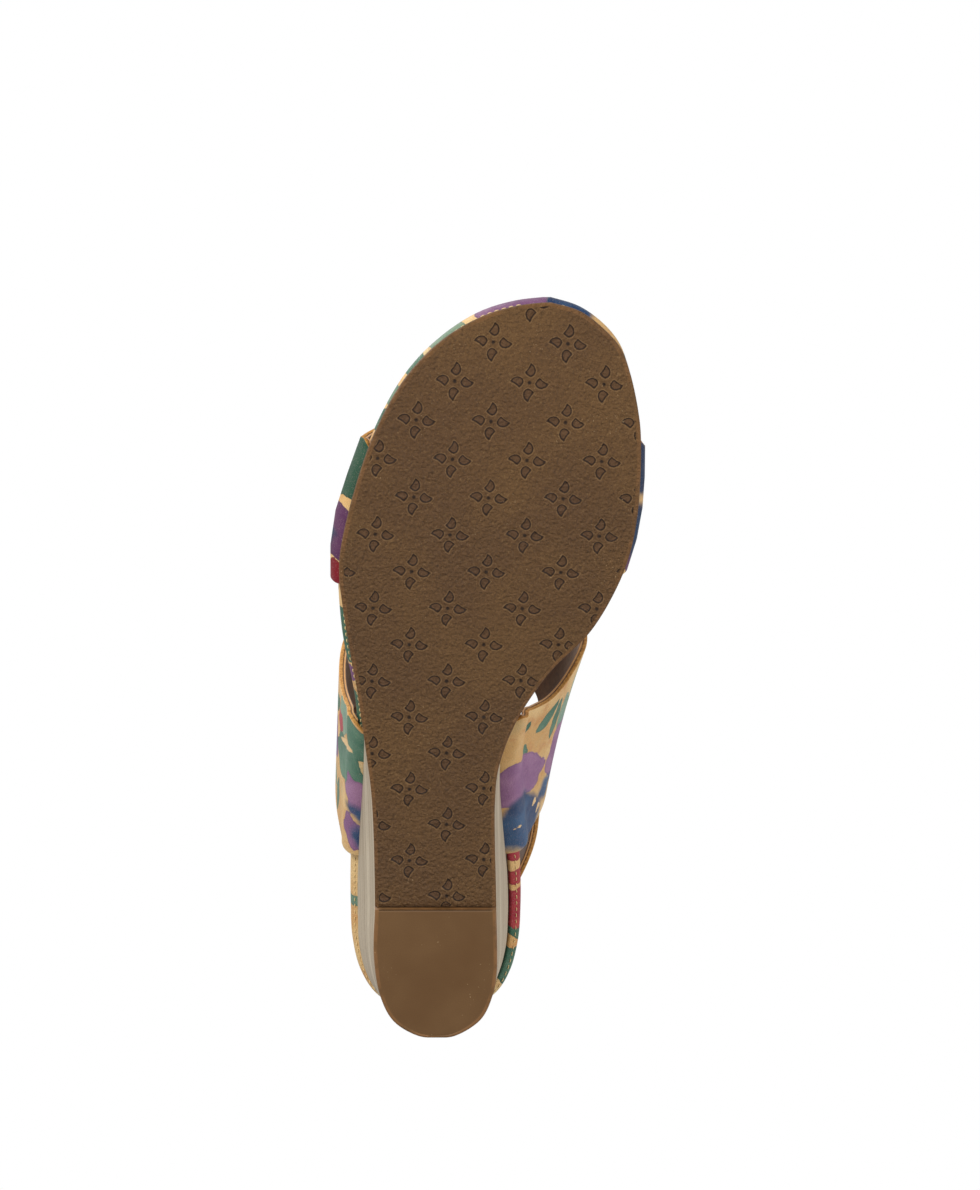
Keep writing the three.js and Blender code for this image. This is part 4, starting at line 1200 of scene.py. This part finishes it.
def lined(face, name, hide, print_shapes, nodes, rows, lining_rows, outwards=1, lift=None, ends_round=(0, 0)):
    """Both layers of one strap: the printed leather and its suede lining, each standing for its CAD nodes."""
    made = []
    lift = np.zeros(len(face)) if lift is None else lift
    for layer, node, (first, last), top, bottom, radii in (
        ("leather", nodes[0], rows, 0.0, margin_thickness, (0.4, 0.12)),
        ("suede", nodes[1], lining_rows, margin_thickness + layer_gap, strap_total, (0.06, 0.3)),
    ):
        sections, stored = strap_layer(
            face[first:last], top, bottom, radii, outwards, lift[first:last], ends_round
        )
        if layer == "leather":
            stored.update(painted(stored["along"], stored["across"], print_shapes))
        whole = skin(f"{name}_{layer}", sections, sheet_shut(face.shape[1] - 2, 2 * corner_steps), stored)
        whole.data.materials.append(hide if layer == "leather" else suede_finish)
        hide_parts(*node)
        "painted_leather" if layer == "leather" else "brown_lining"
        made.append(whole)
    return made


suede = Finish("brown_suede")
spot = suede.place()
nap = suede.noise(spot, 700, 4, 0.7)
brushed = suede.noise(spot, 50, 4, 0.6)
suede_tone = suede.mix(brushed.ramp(0.35, 0.65), colour(104, 76, 50), colour(126, 92, 62))
suede_tone = suede.mix(nap.ramp(0.35, 0.7) * 0.6, suede_tone, colour(72, 50, 33))
suede_edge = suede.stored("depth").ramp(0.66, 0.5) * suede.stored("depth").ramp(0.02, 0.2)
cut_edge = suede.mix(nap, colour(232, 178, 110), colour(190, 134, 76))
suede_tone = suede.mix(suede_edge * 0.8, suede_tone, cut_edge)
suede_finish = suede.surface(
    Base_Color=suede_tone, Roughness=0.9, Normal=suede.bump(nap, 0.0002, 0.6), Sheen_Weight=0.25,
    Sheen_Roughness=0.5,
)


last_fine = len(toe_face)
toe_print = scattered(38, 140, 42, 11) + [
    ("green", "blot", (18, 8.5), (17, 9.6), 0.05, 5, 0.05),
    ("violet", "blot", (19, 29), (17, 9.4), 0.0, 6, 0.05),
    ("blue", "blot", (20, 31), (5, 3.4), 0.2, 4, 0.15), ("rose", "blot", (13, 43), (10, 4.6), 0.1, 4, 0.1),
    ("blue", "blot", (154, 8), (12, 9.2), 0.0, 5, 0.05), ("blue", "blot", (152, 28), (12, 9.0), 0.1, 4, 0.06),
    ("violet", "blot", (152, 34), (12, 7.5), 0.1, 4, 0.1),
]
for made in lined(
    toe_face, "toe_strap", toe_hide, toe_print, (["toe_strap_outer"], ["toe_strap_lining"]), (0, last_fine),
    (lining_start, last_fine - lining_start),
):
    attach(made, "sandal")

# ---------------------------------------------------------------------------
# The instep strap. The outer quarter comes up over the foot; the inner leg goes
# on as a flap that closes over it, raised above the quarter up to the fold.
# ---------------------------------------------------------------------------
instep_rows = strap_rows(
    [
        (-31.9, 54.9, 21.4), (-32.5, 53.4, 37.7), (-29.8, 51.8, 55.2), (-20.6, 49.4, 70.2),
        (-5.4, 47.6, 78.5), (8.7, 47, 80.9), (26, 47.6, 78.5), (40.1, 49, 70.5), (47.7, 50.4, 59.4),
        (50.5, 51.4, 47.5), (46.2, 53.5, 32), (37.6, 56.2, 18.2),
    ],
    [
        (-33.8, 73.7, 27.5), (-33.1, 69.7, 42.6), (-27.1, 64.9, 59.8), (-10.8, 61, 74.1), (7.6, 59.8, 77.4),
        (23.9, 60.6, 73), (34.9, 62.5, 60.4), (37.1, 68.1, 43.3), (36.6, 73.5, 26.8),
    ],
    (57.5, 76.9), (56.5, 76.5),
)
quarter_reach, flap_reach, fold_at = 0.54, 0.31, 0.68  # shares of the way over the foot
instep_face = refined(instep_rows)


def fine_row(share):
    """The fine row at a share of the instep arch."""
    return (foot_rows + round(share * arch_rows)) * per_row


quarter_end, flap_end, fold_row = (fine_row(share) for share in (quarter_reach, flap_reach, fold_at))
last_fine = len(instep_face)
quarter_print = scattered(56, 120, 50, 21) + [
    ("pale", "blot", (27, 7), (7, 7), 0.3, 5, 0.1), ("rose", "blot", (32, 12), (4, 4), 0.3, 5, 0.1),
    ("green", "blot", (14, 7), (7, 7), 0.2, 5, 0.12), ("green", "blot", (22, 23), (15, 9), 0.1, 6, 0.1),
    ("pale", "leaf", (16, 20), 9, 3.6, 1.2), ("violet", "blot", (12.5, 30), (6, 7.5), 0.2, 6, 0.12),
    ("blue", "blot", (12, 36.5), (4.5, 3), 0.1, 3, 0.2),
    ("violet", "blot", (13, 46), (5, 6.5), 0.2, 5, 0.12), ("blue", "blot", (11, 46), (3, 5.5), 0.1, 3, 0.15),
    ("green", "leaf", (33, 44), 16, 5, 1.45), ("gold", "leaf", (22, 15), 18, 2.6, 0.35),
    ("violet", "blot", (46, 26), (9, 10), 0.3, 5, 0.14), ("blue", "blot", (44, 30), (5, 4), 0.3, 3, 0.2),
    ("green", "leaf", (40, 10), 16, 6, 0.7),
]
for made in lined(
    instep_face, "outer_quarter", painted_hide, quarter_print,
    (["lateral_quarter_outer"], ["lateral_quarter_lining"]),
    (0, quarter_end + 1), (lining_start, quarter_end + 1), ends_round=(0, 0.4),
):
    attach(made, "sandal")

patch_thickness = 0.9
flap_height = layer_gap + 2 * patch_thickness + gap + layer_gap + strap_total
rows = np.arange(last_fine)
flap_lift = flap_height * smooth((fold_row - rows) / (fold_row - quarter_end - per_row))
fold_line = instep_face[fold_row]
fold_reach = 8  # fine rows each side of the fold that give its direction
fold_middle = (fold_line[0] + fold_line[-1]) / 2
fold_along = (fold_line[-1] - fold_line[0]) / np.linalg.norm(fold_line[-1] - fold_line[0])
towards_flap = instep_face[fold_row - fold_reach].mean(0) - instep_face[fold_row + fold_reach].mean(0)
towards_flap -= fold_along * (towards_flap @ fold_along)
towards_flap /= np.linalg.norm(towards_flap)
bend_half = 5.0
bend_start = (fold_middle - bend_half * towards_flap + last_to_frame) / 1000
bend_end = (fold_middle + bend_half * towards_flap + last_to_frame) / 1000
inner_print = scattered(8, 74, 50, 31) + [
    ("violet", "blot", (122.5, 28), (15.5, 9), 0.05, 6, 0.07),
    ("violet", "blot", (97, 31), (9, 12), 0.1, 5, 0.1),
    ("blue", "blot", (123, 46.5), (14.5, 11.5), 0.1, 4, 0.06),
    ("blue", "blot", (105, 41), (6, 5), 0.2, 4, 0.15),
    ("green", "blot", (130, 48), (2.6, 2.2), 0.3, 4, 0.15), ("pale", "leaf", (97, 17), 20, 8, 1.5),
    ("pale", "leaf", (89, 11), 17, 6.5, 1.3), ("green", "leaf", (108, 8), 14, 4.6, 0.6),
    ("green", "leaf", (118.5, 7.5), 7, 3.2, 1.0), ("green", "leaf", (118.5, 19.5), 10, 2.8, 1.55),
    ("green", "leaf", (103, 12), 15, 3.6, 1.2), ("gold", "blot", (107, 26), (0.8, 2.2), 0.3, 3, 0.3),
    *[("gold", "blot", centre, size, turn, 3, 0.3) for centre, size, turn in (
        ((113, 42), (1.3, 0.8), 0.6), ((110, 46), (1.4, 0.8), 0.8), ((127, 47), (1.5, 0.7), 0.3),
        ((106, 49), (1.7, 0.9), 0.4),
    )],
    ("green", "leaf", (80, 30), 20, 7, 1.2), ("rose", "blot", (78, 12), (8, 7), 0.4, 5, 0.14),
]
for made in lined(
    instep_face, "inner_leg_and_flap", painted_hide, inner_print,
    (["medial_leg_outer", "instep_flap_outer"], ["medial_leg_lining", "instep_flap_lining"]),
    (flap_end, last_fine), (flap_end, last_fine - lining_start), lift=flap_lift, ends_round=(0.4, 0),
):
    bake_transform(made)

tape = Finish("closing_tape")
spot = tape.place()
fuzz = tape.noise(spot, 1800, 3, 0.75)
loops = tape.cells(spot, 1300)
tape_tone = tape.mix(fuzz.ramp(0.35, 0.65), colour(58, 44, 33), colour(92, 72, 54))
tape_relief = tape.bump(fuzz * 0.5 + loops * 0.5, 0.0004, 0.8)
refinished(
    tape.surface(Base_Color=tape_tone, Roughness=0.97, Normal=tape_relief, Sheen_Weight=0.4),
    "loop_patch", "hook_patch",
)

# ---------------------------------------------------------------------------
# The back strap. It runs round behind the ankle between the two legs of the
# instep strap, lapped under each, and leans in towards its upper edge.
# ---------------------------------------------------------------------------
back_height = 15.0
back_lean, ankle_station, lap_climb = 0.9, 78, 0.06
back_rows = 42
back_lower = [
    (-29.8, 78.6, 28), (-27, 85.5, 29), (-16.5, 94.2, 33), (0, 97.8, 35), (16.5, 94.2, 33), (28.2, 85.5, 29),
    (32.5, 81.2, 28), (34.3, 77.6, 27.8),
]
in_outer_leg = [(0.15, 0.62), (0.145, 0.8), (0.125, 0.97)]
in_inner_leg = [(0.883, 0.97), (0.862, 0.88), (0.84, 0.75)]
instep_normals = unit_normals(instep_rows)


def under_instep(along, over, depth):
    """A point under the instep strap's face, at shares along its arch and across it."""
    row, column = foot_rows + along * arch_rows, over * (strap_columns - 1)
    r, c = int(row), min(int(column), strap_columns - 2)

    def mixed(grid):
        near = grid[r, c] + (grid[r, c + 1] - grid[r, c]) * (column - c)
        far = grid[r + 1, c] + (grid[r + 1, c + 1] - grid[r + 1, c]) * (column - c)
        return near + (far - near) * (row - r)

    return mixed(instep_rows) - mixed(instep_normals) * depth


def back_edge(climb, free):
    """One edge of the back strap: under the outer leg, round the ankle, and under the inner leg."""
    depth = strap_total + gap
    in_outer = [under_instep(along + climb, over, depth) for along, over in in_outer_leg]
    in_inner = [under_instep(along - climb, over, depth) for along, over in in_inner_leg]
    return evenly(in_outer + list(free) + in_inner, back_rows)


ankle = ankle_station * last_length / 100
low_edge = on_foot(back_lower)
leaned = np.stack([
    low_edge[:, 0] * back_lean, ankle + (low_edge[:, 1] - ankle) * back_lean, low_edge[:, 2] + back_height
], -1)
lower, upper = back_edge(0, low_edge), back_edge(lap_climb, leaned)
back_face = refined(np.stack([lower, (lower + upper) / 2, upper], 1), 17)
back_print = scattered(0, 200, 15, 41)
for made in lined(
    back_face, "back_strap", painted_hide, back_print, (["back_strap_outer"], ["back_strap_lining"]),
    (0, len(back_face)), (0, len(back_face)), outwards=-1, ends_round=(0.4, 0.4),
):
    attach(made, "sandal")
